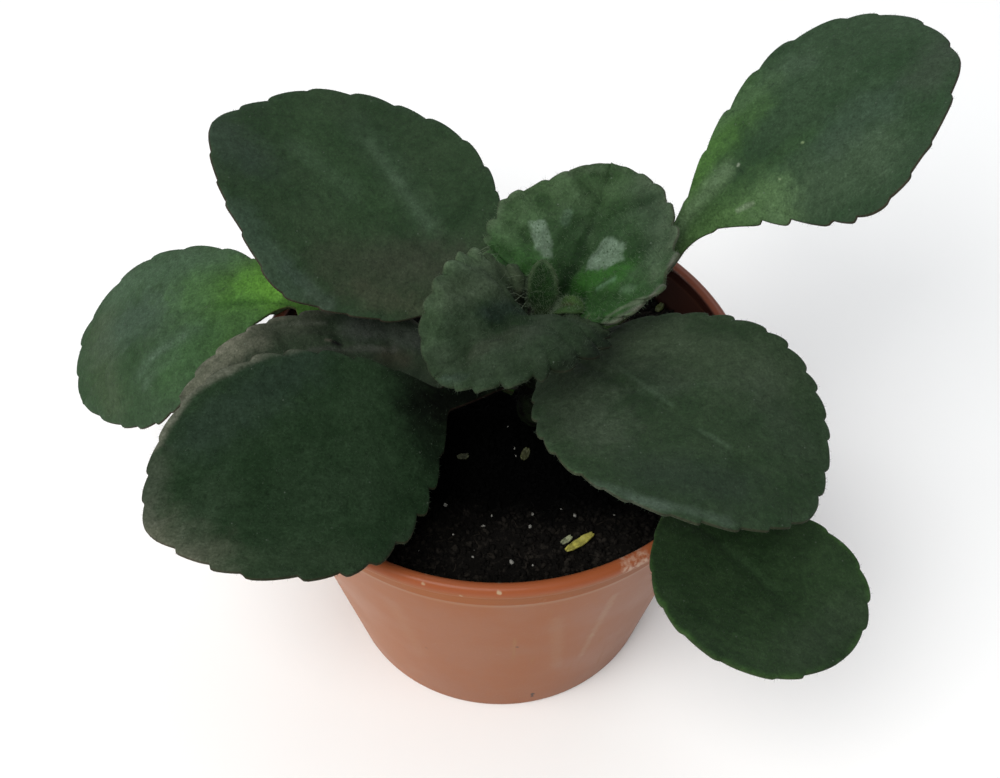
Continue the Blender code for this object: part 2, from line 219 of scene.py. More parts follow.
def addAttribute(mesh, name, values):
    layer = mesh.attributes.new(name, "FLOAT", "POINT")
    layer.data.foreach_set("value", np.asarray(values, np.float32).ravel())


def dress(piece, material=None, node=None):
    if material:
        piece.data.materials.clear()
        piece.data.materials.append(material)
    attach(piece, "root")
    if node:
        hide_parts(node)


# Pot

pot = {
    "rimRadius": 45.0, "height": 64.0, "baseRadius": 30.0, "wall": 1.5, "floor": 2.0,
    "lipHeight": 2.6, "lipWidth": 2.4, "collarFoot": 56.0, "collarSetBack": 2.2, "collarStep": 0.5,
    "ease": 0.4, "sides": 144, "lipSteps": 14, "cornerRound": 0.35, "cornerSteps": 3, "sharpAbove": 50,
    "drainCount": 6, "drainRadius": 3.0, "drainCircle": 19.0, "drainSides": 28,
}
# Its finish. Colours are linear, here and below. A pattern's size is about the width of its lumps, and its
# share is how strongly it shows.
clay = {
    # the pale tint on the next line is painted light on the left of the pot, and the first tint after it
    # painted shade on its right
    "plain": (0.262, 0.082, 0.022), "warm": (0.276, 0.085, 0.022), "pale": (0.385, 0.170, 0.090),
    "shadedRight": (0.215, 0.098, 0.058), "inside": (0.010, 0.0035, 0.0030), "lit": (0.024, 0.0075, 0.0055),
    # the first tint on the next line is painted shade on the top of the lip, under the leaves
    "lip": (0.270, 0.070, 0.024), "lipBack": (0.115, 0.034, 0.021), "limeAndHighlight": (0.50, 0.48, 0.32),
    # the lime tint on the line above also paints a highlight and reflections
    "crust": (0.56, 0.44, 0.34), "soot": (0.026, 0.008, 0.006),
    "cloudSize": 14, "litLeftShare": 0.55, "shadedRightShare": 0.50, "lipShadeShare": 0.9, "lipBackShare": 0.75,
    "insideShare": 0.97, "wrap": 35, "pull": 0.12, "streakSize": 1.6, "streakShare": 0.16,
    "streakRoughness": 0.2, "scuffSize": 0.5, "scuffShare": 0.08, "footHighlightShare": 0.10,
    "crustTurns": (-62, -58), "crustHeight": 62.9, "crustReach": 1.9, "crustShare": 0.6,
    "crustRoughness": 0.3, "fineSize": 0.35, "relief": 0.05, "roughness": 0.40, "lipPolish": 0.10,
    "specular": 0.18,
}
# stains on the outside: start and end as degrees round the pot and height, then reach, strength and colour.
# The first four, long pale streaks down the front of the wall, are painted reflections; the short pale marks
# by the lip are lime and the dark ones soot.
potStains = (
    ((-61, 48, -63, 31), 1.6, 0.10, "limeAndHighlight"), ((-63, 31, -64, 21), 1.4, 0.10, "limeAndHighlight"),
    ((-76, 46, -72, 20), 2.4, 0.06, "limeAndHighlight"), ((-118, 46, -115, 24), 3.0, 0.04, "limeAndHighlight"),
    ((-90, 63.4, -90.3, 63.5), 0.40, 0.45, "limeAndHighlight"), ((-106, 63.4, -106.3, 63.5), 0.35, 0.35, "limeAndHighlight"),
    ((-98, 62.2, -98.3, 62.3), 0.3, 0.3, "limeAndHighlight"), ((-78.5, 5.6, -78.3, 3.8), 0.6, 1.0, "soot"),
    ((-77.9, 5.4, -77.8, 5.0), 0.45, 0.8, "soot"), ((-85.4, 34.5, -85.2, 34.4), 0.4, 0.7, "soot"),
    ((-112, 27.5, -111.8, 27.4), 0.35, 0.5, "soot"),
)


def wallRadius(height):
    top = pot["rimRadius"] - pot["collarSetBack"] - pot["collarStep"]
    return pot["baseRadius"] + (top - pot["baseRadius"]) * height / pot["collarFoot"]


def innerRadius(height):
    return wallRadius(height) - pot["wall"]


def roundCorners(points, reach, steps):
    # each inner corner of the outline becomes a short curve that starts reach mm before it
    eased = [points[0]]
    for before, corner, after in zip(points, points[1:], points[2:]):
        before, corner, after = (np.array(p, float) for p in (before, corner, after))
        back, ahead = before - corner, after - corner
        start = corner + back * min(reach / np.hypot(*back), 0.45)
        end = corner + ahead * min(reach / np.hypot(*ahead), 0.45)
        for share in np.linspace(0, 1, steps + 1):
            rest = 1 - share
            eased.append(tuple(rest ** 2 * start + 2 * share * rest * corner + share ** 2 * end))
    return eased + [points[-1]]


def potSection():
    lipLow = pot["height"] - pot["lipHeight"]
    lipRound = pot["lipWidth"] / 2
    rim = pot["rimRadius"]
    inside = [
        (0, pot["floor"]),
        (innerRadius(pot["floor"]), pot["floor"]),
        (innerRadius(pot["collarFoot"]), pot["collarFoot"]),
        (rim - pot["lipWidth"], lipLow),
        (rim - pot["lipWidth"], pot["height"] - lipRound),
    ]
    lip = []
    for angle in np.linspace(math.pi, 0, pot["lipSteps"] + 1)[1:-1]:
        drop = lipRound * (1 - math.sin(angle))
        lip.append((rim - lipRound + lipRound * math.cos(angle), pot["height"] - drop))
    outside = [
        (rim, pot["height"] - lipRound),
        (rim, lipLow + pot["ease"]),
        (rim - pot["collarSetBack"], lipLow - pot["ease"]),
        (rim - pot["collarSetBack"], pot["collarFoot"] + pot["ease"]),
        (wallRadius(pot["collarFoot"]), pot["collarFoot"] - pot["ease"]),
        (wallRadius(pot["ease"]), pot["ease"]),
        (pot["baseRadius"] - pot["ease"], 0),
        (0, 0),
    ]
    reach, steps = pot["cornerRound"], pot["cornerSteps"]
    return roundCorners(inside, reach, steps) + lip + roundCorners(outside, reach, steps)


def turnedMesh(name, section, sides):
    bm = bmesh.new()
    points = [bm.verts.new((radius * mm, 0, height * mm)) for radius, height in section]
    edges = [bm.edges.new(pair) for pair in zip(points, points[1:])]
    bmesh.ops.spin(
        bm, geom=points + edges, axis=(0, 0, 1), cent=(0, 0, 0), steps=sides, angle=2 * math.pi,
        use_merge=True,
    )
    bmesh.ops.remove_doubles(bm, verts=bm.verts, dist=0.001 * mm)
    bmesh.ops.recalc_face_normals(bm, faces=bm.faces)
    mesh = bpy.data.meshes.new(name)
    bm.to_mesh(mesh)
    bm.free()
    return mesh


def terracottaPlastic():
    f = Finish("terracotta plastic")
    x, y, z = f.parts(f.place)
    reach = f.calc("SQRT", x * x + y * y)
    angle = f.calc("ARCTAN2", y, x)
    sideways = x / reach   # -1 at the far left of the pot, 1 at its far right

    # the parts of the pot
    height, rim = pot["height"], pot["rimRadius"]
    lipLow = height - pot["lipHeight"]
    slope = (wallRadius(pot["collarFoot"]) - pot["baseRadius"]) / pot["collarFoot"]
    outerWall = pot["baseRadius"] * mm + slope * z
    inside = f.fade(outerWall - reach, 0.4 * mm, 1.0 * mm)
    onLip = f.fade(z, (lipLow - 0.5) * mm, (lipLow + 0.4) * mm)
    lipTop = f.fade(z, (height - 2.0) * mm, (height - 0.9) * mm)
    lipInside = f.fade(reach, (rim - 2.0) * mm, (rim - 2.35) * mm)
    # where a painted highlight runs along the foot of the collar
    footHighlight = f.fade(f.calc("ABSOLUTE", z - (pot["collarFoot"] - 0.9) * mm), 0.7 * mm, 0.1 * mm)
    atBack = f.fade(y, -10 * mm, 15 * mm)
    # painted light and shade: masks for the lit left and the shaded right of the wall
    left = f.fade(sideways, -0.28, -0.83)
    right = f.fade(sideways, 0.22, 0.73)
    litInside = f.fade(sideways, 0.70, 0.90) * f.fade(z, 50 * mm, 61 * mm)

    # cloudy clay, streaks pulled out along the height, and scuffs
    clouds = f.grain(f.place, clay["cloudSize"], 3)
    colour = f.mix(f.fade(clouds, 0.35, 0.65), clay["plain"], clay["warm"])
    # painted light makes the left of the wall paler, painted shade makes its right duller
    colour = f.mix(left * clay["litLeftShare"], colour, clay["pale"])
    colour = f.mix(right * clay["shadedRightShare"], colour, clay["shadedRight"])
    around = f.vector(sideways * (clay["wrap"] * mm), y / reach * (clay["wrap"] * mm), z * clay["pull"])
    streaks = f.fade(f.grain(around, clay["streakSize"], 3, 0.6), 0.60, 0.78)
    streaks = streaks * f.fade(f.grain(f.place, 22), 0.45, 0.6)
    scuffs = f.fade(f.grain(f.place, clay["scuffSize"], 2), 0.62, 0.72)
    scuffs = scuffs * f.fade(f.grain(f.place, 9), 0.5, 0.65)
    colour = f.mix(streaks * clay["streakShare"] + scuffs * clay["scuffShare"], colour, clay["limeAndHighlight"])
    # painted highlight: a thin pale line along the foot of the collar
    colour = f.mix(footHighlight * clay["footHighlightShare"], colour, clay["limeAndHighlight"])
    # painted shade: the top of the lip darkened, as the leaves above shade it
    colour = f.mix(lipTop * clay["lipShadeShare"], colour, clay["lip"])

    # lime stains, painted reflections down the wall, soot specks and the crust on the lip
    aroundMm, heightMm = angle * rim, z / mm
    ragged = (f.grain(f.place, 1.0, 3, 0.6) - 0.5) * 1.3
    perDegree = math.radians(rim)
    for (startTurn, startHeight, endTurn, endHeight), size, share, tint in potStains:
        line = (startTurn * perDegree, startHeight, endTurn * perDegree, endHeight)
        colour = f.mix(nearMark(f, aroundMm, heightMm, line, size, ragged) * share, colour, clay[tint])
    startTurn, endTurn = clay["crustTurns"]
    line = (startTurn * perDegree, clay["crustHeight"], endTurn * perDegree, clay["crustHeight"])
    crust = nearMark(f, aroundMm, heightMm, line, clay["crustReach"], ragged)
    crust = crust * f.fade(f.grain(f.place, 0.9, 3), 0.36, 0.66)
    colour = f.mix(crust * clay["crustShare"], colour, clay["crust"])

    # the back of the lip and the inside are in the shade
    colour = f.mix(lipTop * atBack * clay["lipBackShare"], colour, clay["lipBack"])
    shaded = f.mix(litInside, clay["inside"], clay["lit"])
    colour = f.mix((inside * (1 - onLip) + lipInside * onLip) * clay["insideShare"], colour, shaded)
    roughness = clay["roughness"] - lipTop * clay["lipPolish"] + streaks * clay["streakRoughness"]
    roughness = roughness + crust * clay["crustRoughness"] + f.fade(clouds, 0.3, 0.7) * 0.08
    relief = f.grain(f.place, clay["fineSize"], 2) * 0.4 + f.grain(around, 2.5, 2) * 0.8
    return f.finish(colour, roughness, f.bump(relief, clay["relief"]), Specular_IOR_Level=clay["specular"])


def makePot():
    g = Grower("drained pot")
    count, radius = g.size("Drain count", "Int"), g.size("Drain radius")
    circle, depth = g.size("Drain circle"), g.size("Cut depth")
    sides = g.size("Drain sides", "Int")
    ring = g.node("GeometryNodeCurvePrimitiveCircle", {}, {"Resolution": count, "Radius": circle})
    turn = g.vector(0, 0, math.pi / pot["drainCount"])
    ring = g.node("GeometryNodeTransform", {}, {"Geometry": ring, "Rotation": turn})
    points = g.node("GeometryNodeCurveToPoints", {"mode": "EVALUATED"}, {"Curve": ring})
    drill = g.node("GeometryNodeMeshCylinder", {}, {"Vertices": sides, "Radius": radius, "Depth": depth})
    drills = g.node("GeometryNodeInstanceOnPoints", {}, {"Points": points, "Instance": drill})
    drills = g.node("GeometryNodeRealizeInstances", {}, {"Geometry": drills})
    settings = {"operation": "DIFFERENCE", "solver": "EXACT"}
    drained = g.node("GeometryNodeMeshBoolean", settings, {"Mesh 1": g.ground, "Mesh 2": drills})
    g.finish(drained, terracottaPlastic())
    sizes = {
        "Drain count": pot["drainCount"], "Drain radius": pot["drainRadius"] * mm,
        "Drain circle": pot["drainCircle"] * mm, "Cut depth": 4 * pot["floor"] * mm,
        "Drain sides": pot["drainSides"],
    }
    piece = g.grow("pot_shell", turnedMesh("pot_shell", potSection(), pot["sides"]), sizes)
    piece.data.set_sharp_from_angle(angle=math.radians(pot["sharpAbove"]))
    dress(piece, node="pot")
    print("pot:", len(piece.data.polygons), "faces")


# Potting mix

mix = {
    "level": 55.0, "relief": 1.1, "dish": 1.0, "lump": 6.0, "crumb": 2.7, "crumbShare": 0.6, "seed": 5,
    "grit": 0.9, "gritRelief": 0.35, "rings": 70, "sides": 170, "clear": 0.3,
    "crumbsPerSquareCm": 85, "crumbRadius": 0.62, "crumbSeed": 3,
    "fibresPerSquareCm": 6, "fibreLength": 3.0, "fibreRadius": 0.10, "fibreSeed": 11,
    "fibreSides": 5, "fibreBends": 4, "fibreBow": 90, "fibreTilts": ((1.2, -0.3, 0.0), (1.9, 0.3, 6.28)),
    "perlitesPerSquareCm": 0.7, "perliteRadius": 0.22, "perliteSeed": 8,
    "grainRadius": 0.34, "grainSeed": 4, "proportions": ((0.45, 0.45, 0.35), (1.7, 1.35, 0.95)),
    "broken": 0.8, "brokenSize": 0.8,
    "grainPlaces": (
        (-1.4, -23.7), (-2.9, -26.1), (5.6, -23.5), (5.2, -26.5), (5.6, -34.1), (2.0, -33.5), (13.0, -24.0),
        (-9.5, -22.0), (-20.0, 24.0), (3.0, 33.0),
    ),
    "peat": (0.0056, 0.0050, 0.0044), "bark": (0.0200, 0.0172, 0.0140), "perlite": (0.24, 0.235, 0.21),
    "fibre": (0.016, 0.012, 0.009), "crownShade": (0.0004, 0.0004, 0.0004),
    # the last tint above is painted shade, near black, under the crown; the next pairs give where it eases in
    # at the front and at the back
    "shadeFront": (-31, -19), "shadeBack": (22, 8), "shadeRagged": 9, "moteSize": 1.5, "moteRadius": 0.16,
    "moteShare": 0.08,
}


def mixHeight(x, y):
    place = Vector((x, y, mix["seed"]))
    lumps = noise.noise(place / mix["lump"]) + mix["crumbShare"] * noise.noise(place / mix["crumb"])
    return mix["level"] + mix["relief"] * lumps + mix["dish"] * (math.hypot(x, y) / pot["rimRadius"]) ** 2


def mixSurface(x, y):
    grit = noise.noise(Vector((x, y, 0)) / mix["grit"])
    return mixHeight(x, y) + mix["gritRelief"] * grit


def mixMesh():
    edge = innerRadius(mix["level"]) - mix["clear"]
    foot = pot["floor"] + mix["clear"]
    footEdge = innerRadius(foot) - mix["clear"]
    sides = mix["sides"]
    points = [(0, 0, mixSurface(0, 0))]
    turns = np.linspace(0, 2 * math.pi, sides, endpoint=False)
    for ring in range(1, mix["rings"] + 1):
        radius = edge * ring / mix["rings"]
        for turn in turns:
            x, y = radius * math.cos(turn), radius * math.sin(turn)
            points.append((x, y, mixSurface(x, y)))
    points += [(footEdge * math.cos(turn), footEdge * math.sin(turn), foot) for turn in turns]
    faces = [(0, 1 + side, 1 + (side + 1) % sides) for side in range(sides)]
    for ring in range(mix["rings"]):
        start = 1 + ring * sides
        for side in range(sides):
            after = (side + 1) % sides
            faces.append((start + side, start + sides + side, start + sides + after, start + after))
    faces.append([1 + mix["rings"] * sides + side for side in range(sides)][::-1])
    mesh = smoothMesh("mix_bed", points, faces)
    isOpen = np.ones(len(points))
    isOpen[-2 * sides:] = 0   # the outermost ring and the foot
    addAttribute(mesh, "open", isOpen)
    return mesh


def shadedUnderCrown(f, colour):
    # painted shade: the mix is darkened to near black under the crown, where the leaves shade it, easing off
    # towards the front and the back
    y = f.parts(f.place)[1] + (f.grain(f.place, 6, 3) - 0.5) * (mix["shadeRagged"] * mm)
    (openFront, shadedFront), (openBack, shadedBack) = mix["shadeFront"], mix["shadeBack"]
    shadeMask = f.fade(y, openFront * mm, shadedFront * mm) * f.fade(y, openBack * mm, shadedBack * mm)
    return f.mix(shadeMask, colour, mix["crownShade"])


def peat():
    f = Finish("peat")
    lumps = f.grain(f.place, 1.3, 4, 0.65)
    colour = shadedUnderCrown(f, f.mix(f.fade(lumps, 0.50, 0.72), mix["peat"], mix["bark"]))
    motes = f.specks(f.place, mix["moteSize"], mix["moteRadius"], mix["moteShare"])
    colour = f.mix(motes * 0.3, colour, mix["perlite"])
    normal = f.bump(f.grain(f.place, 0.5, 3, 0.6), 0.25)
    return f.finish(colour, 0.95, normal, Specular_IOR_Level=0.03)


def crumbFinish():
    f = Finish("crumb")
    tone = f.grain(f.place, 2.0, 2)
    colour = shadedUnderCrown(f, f.mix(f.fade(tone, 0.45, 0.70), mix["peat"], mix["bark"]))
    normal = f.bump(f.grain(f.place, 0.4, 3, 0.6), 0.2)
    return f.finish(colour, 0.9, normal, Specular_IOR_Level=0.04)


def perliteFinish():
    f = Finish("perlite")
    pits = f.cells(f.place, 0.25)
    colour = f.mix(f.fade(f.grain(f.place, 0.8, 3), 0.45, 0.8), mix["perlite"], mix["fibre"])
    return f.finish(colour, 0.85, f.bump(pits, 0.08))


def fibreFinish():
    f = Finish("fibre")
    colour = shadedUnderCrown(f, f.mix(f.grain(f.place, 1.2, 3), mix["bark"], mix["fibre"]))
    return f.finish(colour, 0.8, f.bump(f.grain(f.place, 0.3, 2), 0.05), Specular_IOR_Level=0.06)


def scatter(name, material, stretched=False, placed=False):
    # broken grains, or fibres where stretched, strewn over the open top of the mix or, where placed, set on
    # the points of the mesh
    g = Grower(name)
    density, radius, length = g.size("Per square metre"), g.size("Radius"), g.size("Length")
    seed = g.size("Seed", "Int")
    points = g.ground
    if not placed:
        isOpen = g.node("GeometryNodeInputNamedAttribute", {"data_type": "FLOAT"}, {"Name": "open"})
        sockets = {"Mesh": g.ground, "Density": density * isOpen, "Seed": seed}
        points = g.node("GeometryNodeDistributePointsOnFaces", {"distribute_method": "RANDOM"}, sockets)
    if stretched:
        sockets = {
            "Vertices": mix["fibreSides"], "Side Segments": mix["fibreBends"], "Radius": radius,
            "Depth": length,
        }
        grain = g.node("GeometryNodeMeshCylinder", {}, sockets)
        height = g.parts(g.node("GeometryNodeInputPosition"))[2]
        bowed = g.vector(height * height * mix["fibreBow"], 0, 0)
        grain = g.node("GeometryNodeSetPosition", {}, {"Geometry": grain, "Offset": bowed})
        turn = g.random(*mix["fibreTilts"], 1, "FLOAT_VECTOR")
    else:
        grain = g.node("GeometryNodeMeshIcoSphere", {}, {"Radius": radius, "Subdivisions": 1})
        turn = g.random((0.0, 0.0, 0.0), (6.28, 6.28, 6.28), 1, "FLOAT_VECTOR")
    size = g.random(*mix["proportions"], 2, "FLOAT_VECTOR")
    sockets = {"Points": points, "Instance": grain, "Rotation": turn, "Scale": size}
    grains = g.node("GeometryNodeInstanceOnPoints", {}, sockets)
    whole = g.node("GeometryNodeRealizeInstances", {}, {"Geometry": grains})
    rough = g.grain(g.node("GeometryNodeInputPosition"), mix["brokenSize"], 2, take=1)
    evened = g.node("ShaderNodeVectorMath", {"operation": "SUBTRACT"}, {0: rough, 1: (0.5, 0.5, 0.5)})
    sockets = {0: evened, "Scale": radius * mix["broken"]}
    shift = g.node("ShaderNodeVectorMath", {"operation": "SCALE"}, sockets)
    g.finish(g.node("GeometryNodeSetPosition", {}, {"Geometry": whole, "Offset": shift}), material)
    return g


def strew(name, grower, bed, kind):
    sizes = {
        "Per square metre": mix.get(kind + "sPerSquareCm", 0) * perSquareCm,
        "Radius": mix[kind + "Radius"] * mm, "Length": mix.get(kind + "Length", 0) * mm,
        "Seed": mix[kind + "Seed"],
    }
    piece = grower.grow(name, bed.copy(), sizes)
    dress(piece)
    print(name + ":", len(piece.data.polygons), "faces")


def makeMix():
    bed = mixMesh()
    strew("mix_crumbs", scatter("crumbs", crumbFinish()), bed, "crumb")
    strew("mix_perlite", scatter("perlite grains", perliteFinish()), bed, "perlite")
    spots = [(x, y, mixSurface(x, y) + mix["clear"]) for x, y in mix["grainPlaces"]]
    bySpot = scatter("large grains", perliteFinish(), placed=True)
    strew("mix_grains", bySpot, smoothMesh("spots", spots, []), "grain")
    strew("mix_fibres", scatter("fibres", fibreFinish(), stretched=True), bed, "fibre")
    dress(newPiece("mix_bed", bed), peat(), "potting_mix")


# Leaves

blade = {
    "thickness": 0.8, "edgeRound": 0.55, "stalkHalf": 1.1, "stalkGain": 0.02, "stalkDepth": 1.0,
    "footSwell": 0.15, "footLength": 10.0, "stalkStep": 1.2, "stalkGroove": 0.35,
    "veinSweep": 0.55, "veinBend": 1.4, "stations": 80, "outlineStations": 240, "marginReach": 0.3,
    "toothless": 0.12, "bareRows": 9, "toothRise": 1.7, "toothFall": 1.4, "toothVary": 0.35,
    "toothShift": 0.20, "tipRows": 3, "tipReach": 5.0, "blendLength": 4.0, "pillowReach": 1.7,
    "toothRows": (0.0, 0.04, 0.10, 0.18, 0.28, 0.41, 0.54, 0.67, 0.78, 0.88, 0.95),
    "spineColumns": (0.0, 0.4, 0.9, 1.6, 2.5), "edgeColumns": (1.1, 0.6, 0.3, 0.1, 0.0),
    "narrow": 6.0, "veins": 6, "keelRim": 0.15, "keelLeast": 0.05, "underThickness": 0.9,
    "grooveBelow": 0.5, "flatUnit": 100,
}
# the relief of the sheet: sizes of its lumps and waves, then width and depth of the midrib at the tip and
# what they gain towards the base, and of the side veins
relief = {
    "lumpSize": 4.5, "lumpShare": 0.9, "crinkleSize": 2.2, "waveSize": 17, "rippleSize": 7,
    "rippleShare": 0.5, "frillSize": 2.6, "ribWidth": 0.6, "ribWidthGain": 0.9, "ribDepth": 0.06,
    "ribDepthGain": 0.30, "veinWidth": 0.7, "veinDepth": 0.16,
}

# root: height where the petiole meets the stem's axis    foot: how far from the axis it starts
# heading, turn: compass angle and its change    pitch: climb at root, base and tip
# roll, twist: about the midrib    base, tip: outline powers    lean: wider to the left
# vee, edge: slope of the left and right half at midrib and margin    soft: rounding of the fold
# teeth, depth: their number and size, on both sides or left and right
# firstTooth, calm: size of the first ones and how far they fade towards the tip
# crowd: closer set there    peak: place of a tooth's crest
# lobes: reach of the left and right half back beside the petiole    bulges: place, reach and width added
# quilt, wave, crinkle, frill: height of the swellings between veins, of slow and fine waves and of those at
# the margin    pillow: swelling of each tooth    puckers: line, reach and height    rib: depth of the midrib
# down, hair: hairs per square cm and their length    silk: long hairs beside the petiole
# fringe, stalkFur: more down on the margin and the petiole    columns: across each half, for the mesh
plainLeaf = dict(
    foot=(0, 0), turn=0, roll=0, twist=0, vee=(0, 0), edge=(0, 0), lean=0, soft=0, firstTooth=0.4, calm=0,
    crowd=1, peak=0.84, lobes=(0, 0), bulges=((), ()), wave=0.9, crinkle=0.07, frill=0, pillow=0.25,
    puckers=(), rib=1, down=130, hair=0.5, fringe=0.5, stalkFur=1.2, silk=0, columns=15, slot="leaf_dark",
)
leaves = {
    "leaf_back_left": dict(
        plainLeaf, root=71, heading=141, pitch=(33, 16, 19), turn=23, roll=-15, twist=24, petiole=16.5,
        length=55.5, width=47, base=0.56, tip=0.60, lean=-0.05, teeth=10, depth=0.6,
        bulges=(((27.0, 8.0, 2.0), (6.0, 3.0, 0.6)), ()), quilt=0.22, down=150, seed=1,
    ),
    "leaf_left": dict(
        plainLeaf, root=60.5, heading=162, pitch=(14, 3, -55), turn=56, roll=-10, twist=20, petiole=47,
        length=51, width=40, base=1.05, tip=0.66, edge=(-16, -10), lean=0.02, teeth=9, depth=0.6,
        bulges=(((3.0, 5.5, -2.2),), ((5.0, 5.0, 0.8),)), quilt=0.20, wave=0.7, slot="leaf_bright", seed=2,
    ),
    "leaf_front_left": dict(
        plainLeaf, root=70.5, heading=-146, pitch=(-4, 12, -5), turn=-4, roll=-23, twist=33, petiole=20,
        length=55.5, width=47, base=0.86, tip=0.65, vee=(-1, -1), edge=(10, 8), lean=0.08, teeth=10,
        depth=(1.7, 1.1), calm=0.5, quilt=0.20, down=120, stalkFur=-0.9, seed=3,
    ),
    "leaf_low_left": dict(
        plainLeaf, root=64.5, heading=185, pitch=(12, 14, -22), turn=-1, roll=-5, petiole=16.5, length=48.5,
        width=30.5, base=0.62, tip=0.65, edge=(3, 3), lean=0.14, teeth=9, depth=0.8,
        bulges=((), ((5.0, 5.5, 2.6),)), quilt=0.40, wave=0.8, crinkle=0.2, down=110, slot="leaf_aged",
        seed=4,
    ),
    "leaf_back_right": dict(
        plainLeaf, root=66.5, heading=31, pitch=(11, 52, 23), turn=-39, roll=17, twist=-24, petiole=31.5,
        length=59.5, width=47, base=1.65, tip=0.69, vee=(-1, -9), edge=(-6, 8), lean=-0.09, teeth=9,
        depth=(1.0, 1.3), calm=0.4, quilt=0.22, wave=0.8, slot="leaf_bright", seed=5,
    ),
    "leaf_front_right": dict(
        plainLeaf, root=72, heading=-51, pitch=(42, 27, -14), turn=11, roll=5, twist=-19, petiole=6,
        length=56, width=47.5, base=0.68, tip=0.60, edge=(4, 4), lean=0.09, teeth=13, depth=(0.75, 1.0),
        quilt=0.22, down=150, seed=6,
    ),
    "leaf_low_right": dict(
        plainLeaf, root=63, heading=-54, pitch=(3, 11, -9), turn=6, roll=1, twist=-18, petiole=37, length=39,
        width=36.5, base=0.79, tip=0.45, edge=(11, 11), lean=-0.10, teeth=7, depth=0.6, quilt=0.18,
        wave=0.5, seed=7,
    ),
    "leaf_crown_back": dict(
        plainLeaf, root=75.8, heading=51, pitch=(37, 42, 26), turn=26, roll=-12, twist=10, petiole=6.5,
        length=26, width=41, base=0.24, tip=0.65, vee=(26, 22), edge=(14, 33), lean=-0.18, soft=1.4,
        teeth=11, depth=(2.2, 3.0), firstTooth=0.9, calm=0.96, crowd=1.12, peak=0.68, lobes=(3.0, 0.0),
        bulges=(
            ((5.0, 3.0, 0.9), (13.5, 3.2, 1.7)),
            ((2.2, 1.3, 0.9), (5.0, 1.0, -0.8), (7.6, 1.2, 0.9), (10.2, 1.0, -0.8), (12.6, 1.3, 0.6)),
        ),
        quilt=0.65, crinkle=0.36, frill=1.1, pillow=1.0, rib=0.9, columns=26, down=135, hair=0.9,
        slot="leaf_young", seed=8, puckers=(
            (10.6, 9.4, 6.6, 5.6, 1.9, 0.8), (8.0, -4.0, 12.0, -8.2, 2.1, 0.9),
            (13.2, 4.8, 14.2, 4.9, 1.6, 0.4), (4.9, -9.5, 7.4, -13.2, 1.1, 0.5),
            (6.0, -16.0, 7.0, -18.4, 1.2, 0.5), (2.5, -6.0, 2.5, -13.0, 1.2, -0.5),
        ),
    ),
    "leaf_crown_front": dict(
        plainLeaf, root=78.8, heading=-116, pitch=(33, 53, -30), turn=-30, roll=-1, twist=4, petiole=6,
        length=25, width=32.5, base=0.25, tip=0.48, vee=(29, 38), edge=(-8, 27), lean=0.07, soft=2.6,
        teeth=11, depth=(5.0, 2.2), firstTooth=1.0, calm=0.88, crowd=1.1, peak=0.60, lobes=(0.0, 11.5),
        quilt=0.45, wave=0.8, crinkle=0.34, frill=0.9, pillow=2.2, rib=0.2, columns=26, down=150, hair=0.8,
        silk=16, slot="leaf_young", seed=9, puckers=(
            (5.0, 7.5, 15.0, 8.0, 4.5, 0.8), (14.0, -6.0, 16.0, -9.0, 3.2, 0.9),
            (8.0, -8.0, 9.0, -10.0, 2.6, 0.8), (11.0, -11.5, 11.5, -13.5, 1.6, 0.7),
            (-7.0, -9.0, -3.0, -11.0, 2.5, 1.0),
        ),
    ),
    "leaf_bud_upright": dict(
        plainLeaf, root=80.6, foot=(0.2, 0.2), heading=95, pitch=(84, 82, 70), petiole=1.5, length=10,
        width=6.2, base=0.60, tip=0.55, vee=(10, 10), edge=(50, 50), teeth=3, depth=0.2, quilt=0.08,
        wave=0.1, down=650, hair=1.0, slot="leaf_bud", seed=10,
    ),
    "leaf_bud_curled": dict(
        plainLeaf, root=80.9, foot=(1.7, -1.5), heading=-32, pitch=(60, 86, -42), turn=24, petiole=3.3,
        length=6.4, width=4.2, base=0.5, tip=0.5, vee=(20, 20), edge=(-10, -10), teeth=3, depth=0.2,
        quilt=0.05, wave=0.1, down=650, hair=0.9, slot="leaf_bud", seed=11,
    ),
}


def ease(share):
    share = np.clip(share, 0, 1)
    return share * share * (3 - 2 * share)


def stalkHalf(leaf):
    return blade["stalkHalf"] + blade["stalkGain"] * leaf["length"]


def midrib(leaf):
    # distance, place, sideways and upward directions along the petiole and midrib
    petiole, length = leaf["petiole"], leaf["length"]
    root, bladeBase, tip = leaf["pitch"]
    distance = np.linspace(0, petiole + length, blade["stations"])
    before = np.clip(distance / petiole, 0, 1)
    along = np.clip((distance - petiole) / length, 0, 1)
    pitch = np.radians(root + (bladeBase - root) * before + (tip - bladeBase) * along)
    heading = np.radians(leaf["heading"] + leaf["turn"] * along)
    roll = np.radians(leaf["roll"] + leaf["twist"] * along)[:, None]
    ahead = np.stack([np.cos(pitch) * np.cos(heading), np.cos(pitch) * np.sin(heading), np.sin(pitch)], 1)
    level = np.stack([-np.sin(heading), np.cos(heading), 0 * heading], 1)
    upward = np.cross(ahead, level)
    footX, footY = leaf["foot"]
    start = np.array([stem["x"] + footX, stem["y"] + footY, leaf["root"]])
    moves = (ahead[1:] + ahead[:-1]) / 2 * (distance[1] - distance[0])
    place = start + np.vstack([np.zeros(3), np.cumsum(moves, 0)])
    side = level * np.cos(roll) + upward * np.sin(roll)
    up = upward * np.cos(roll) - level * np.sin(roll)
    return distance, place, side, up


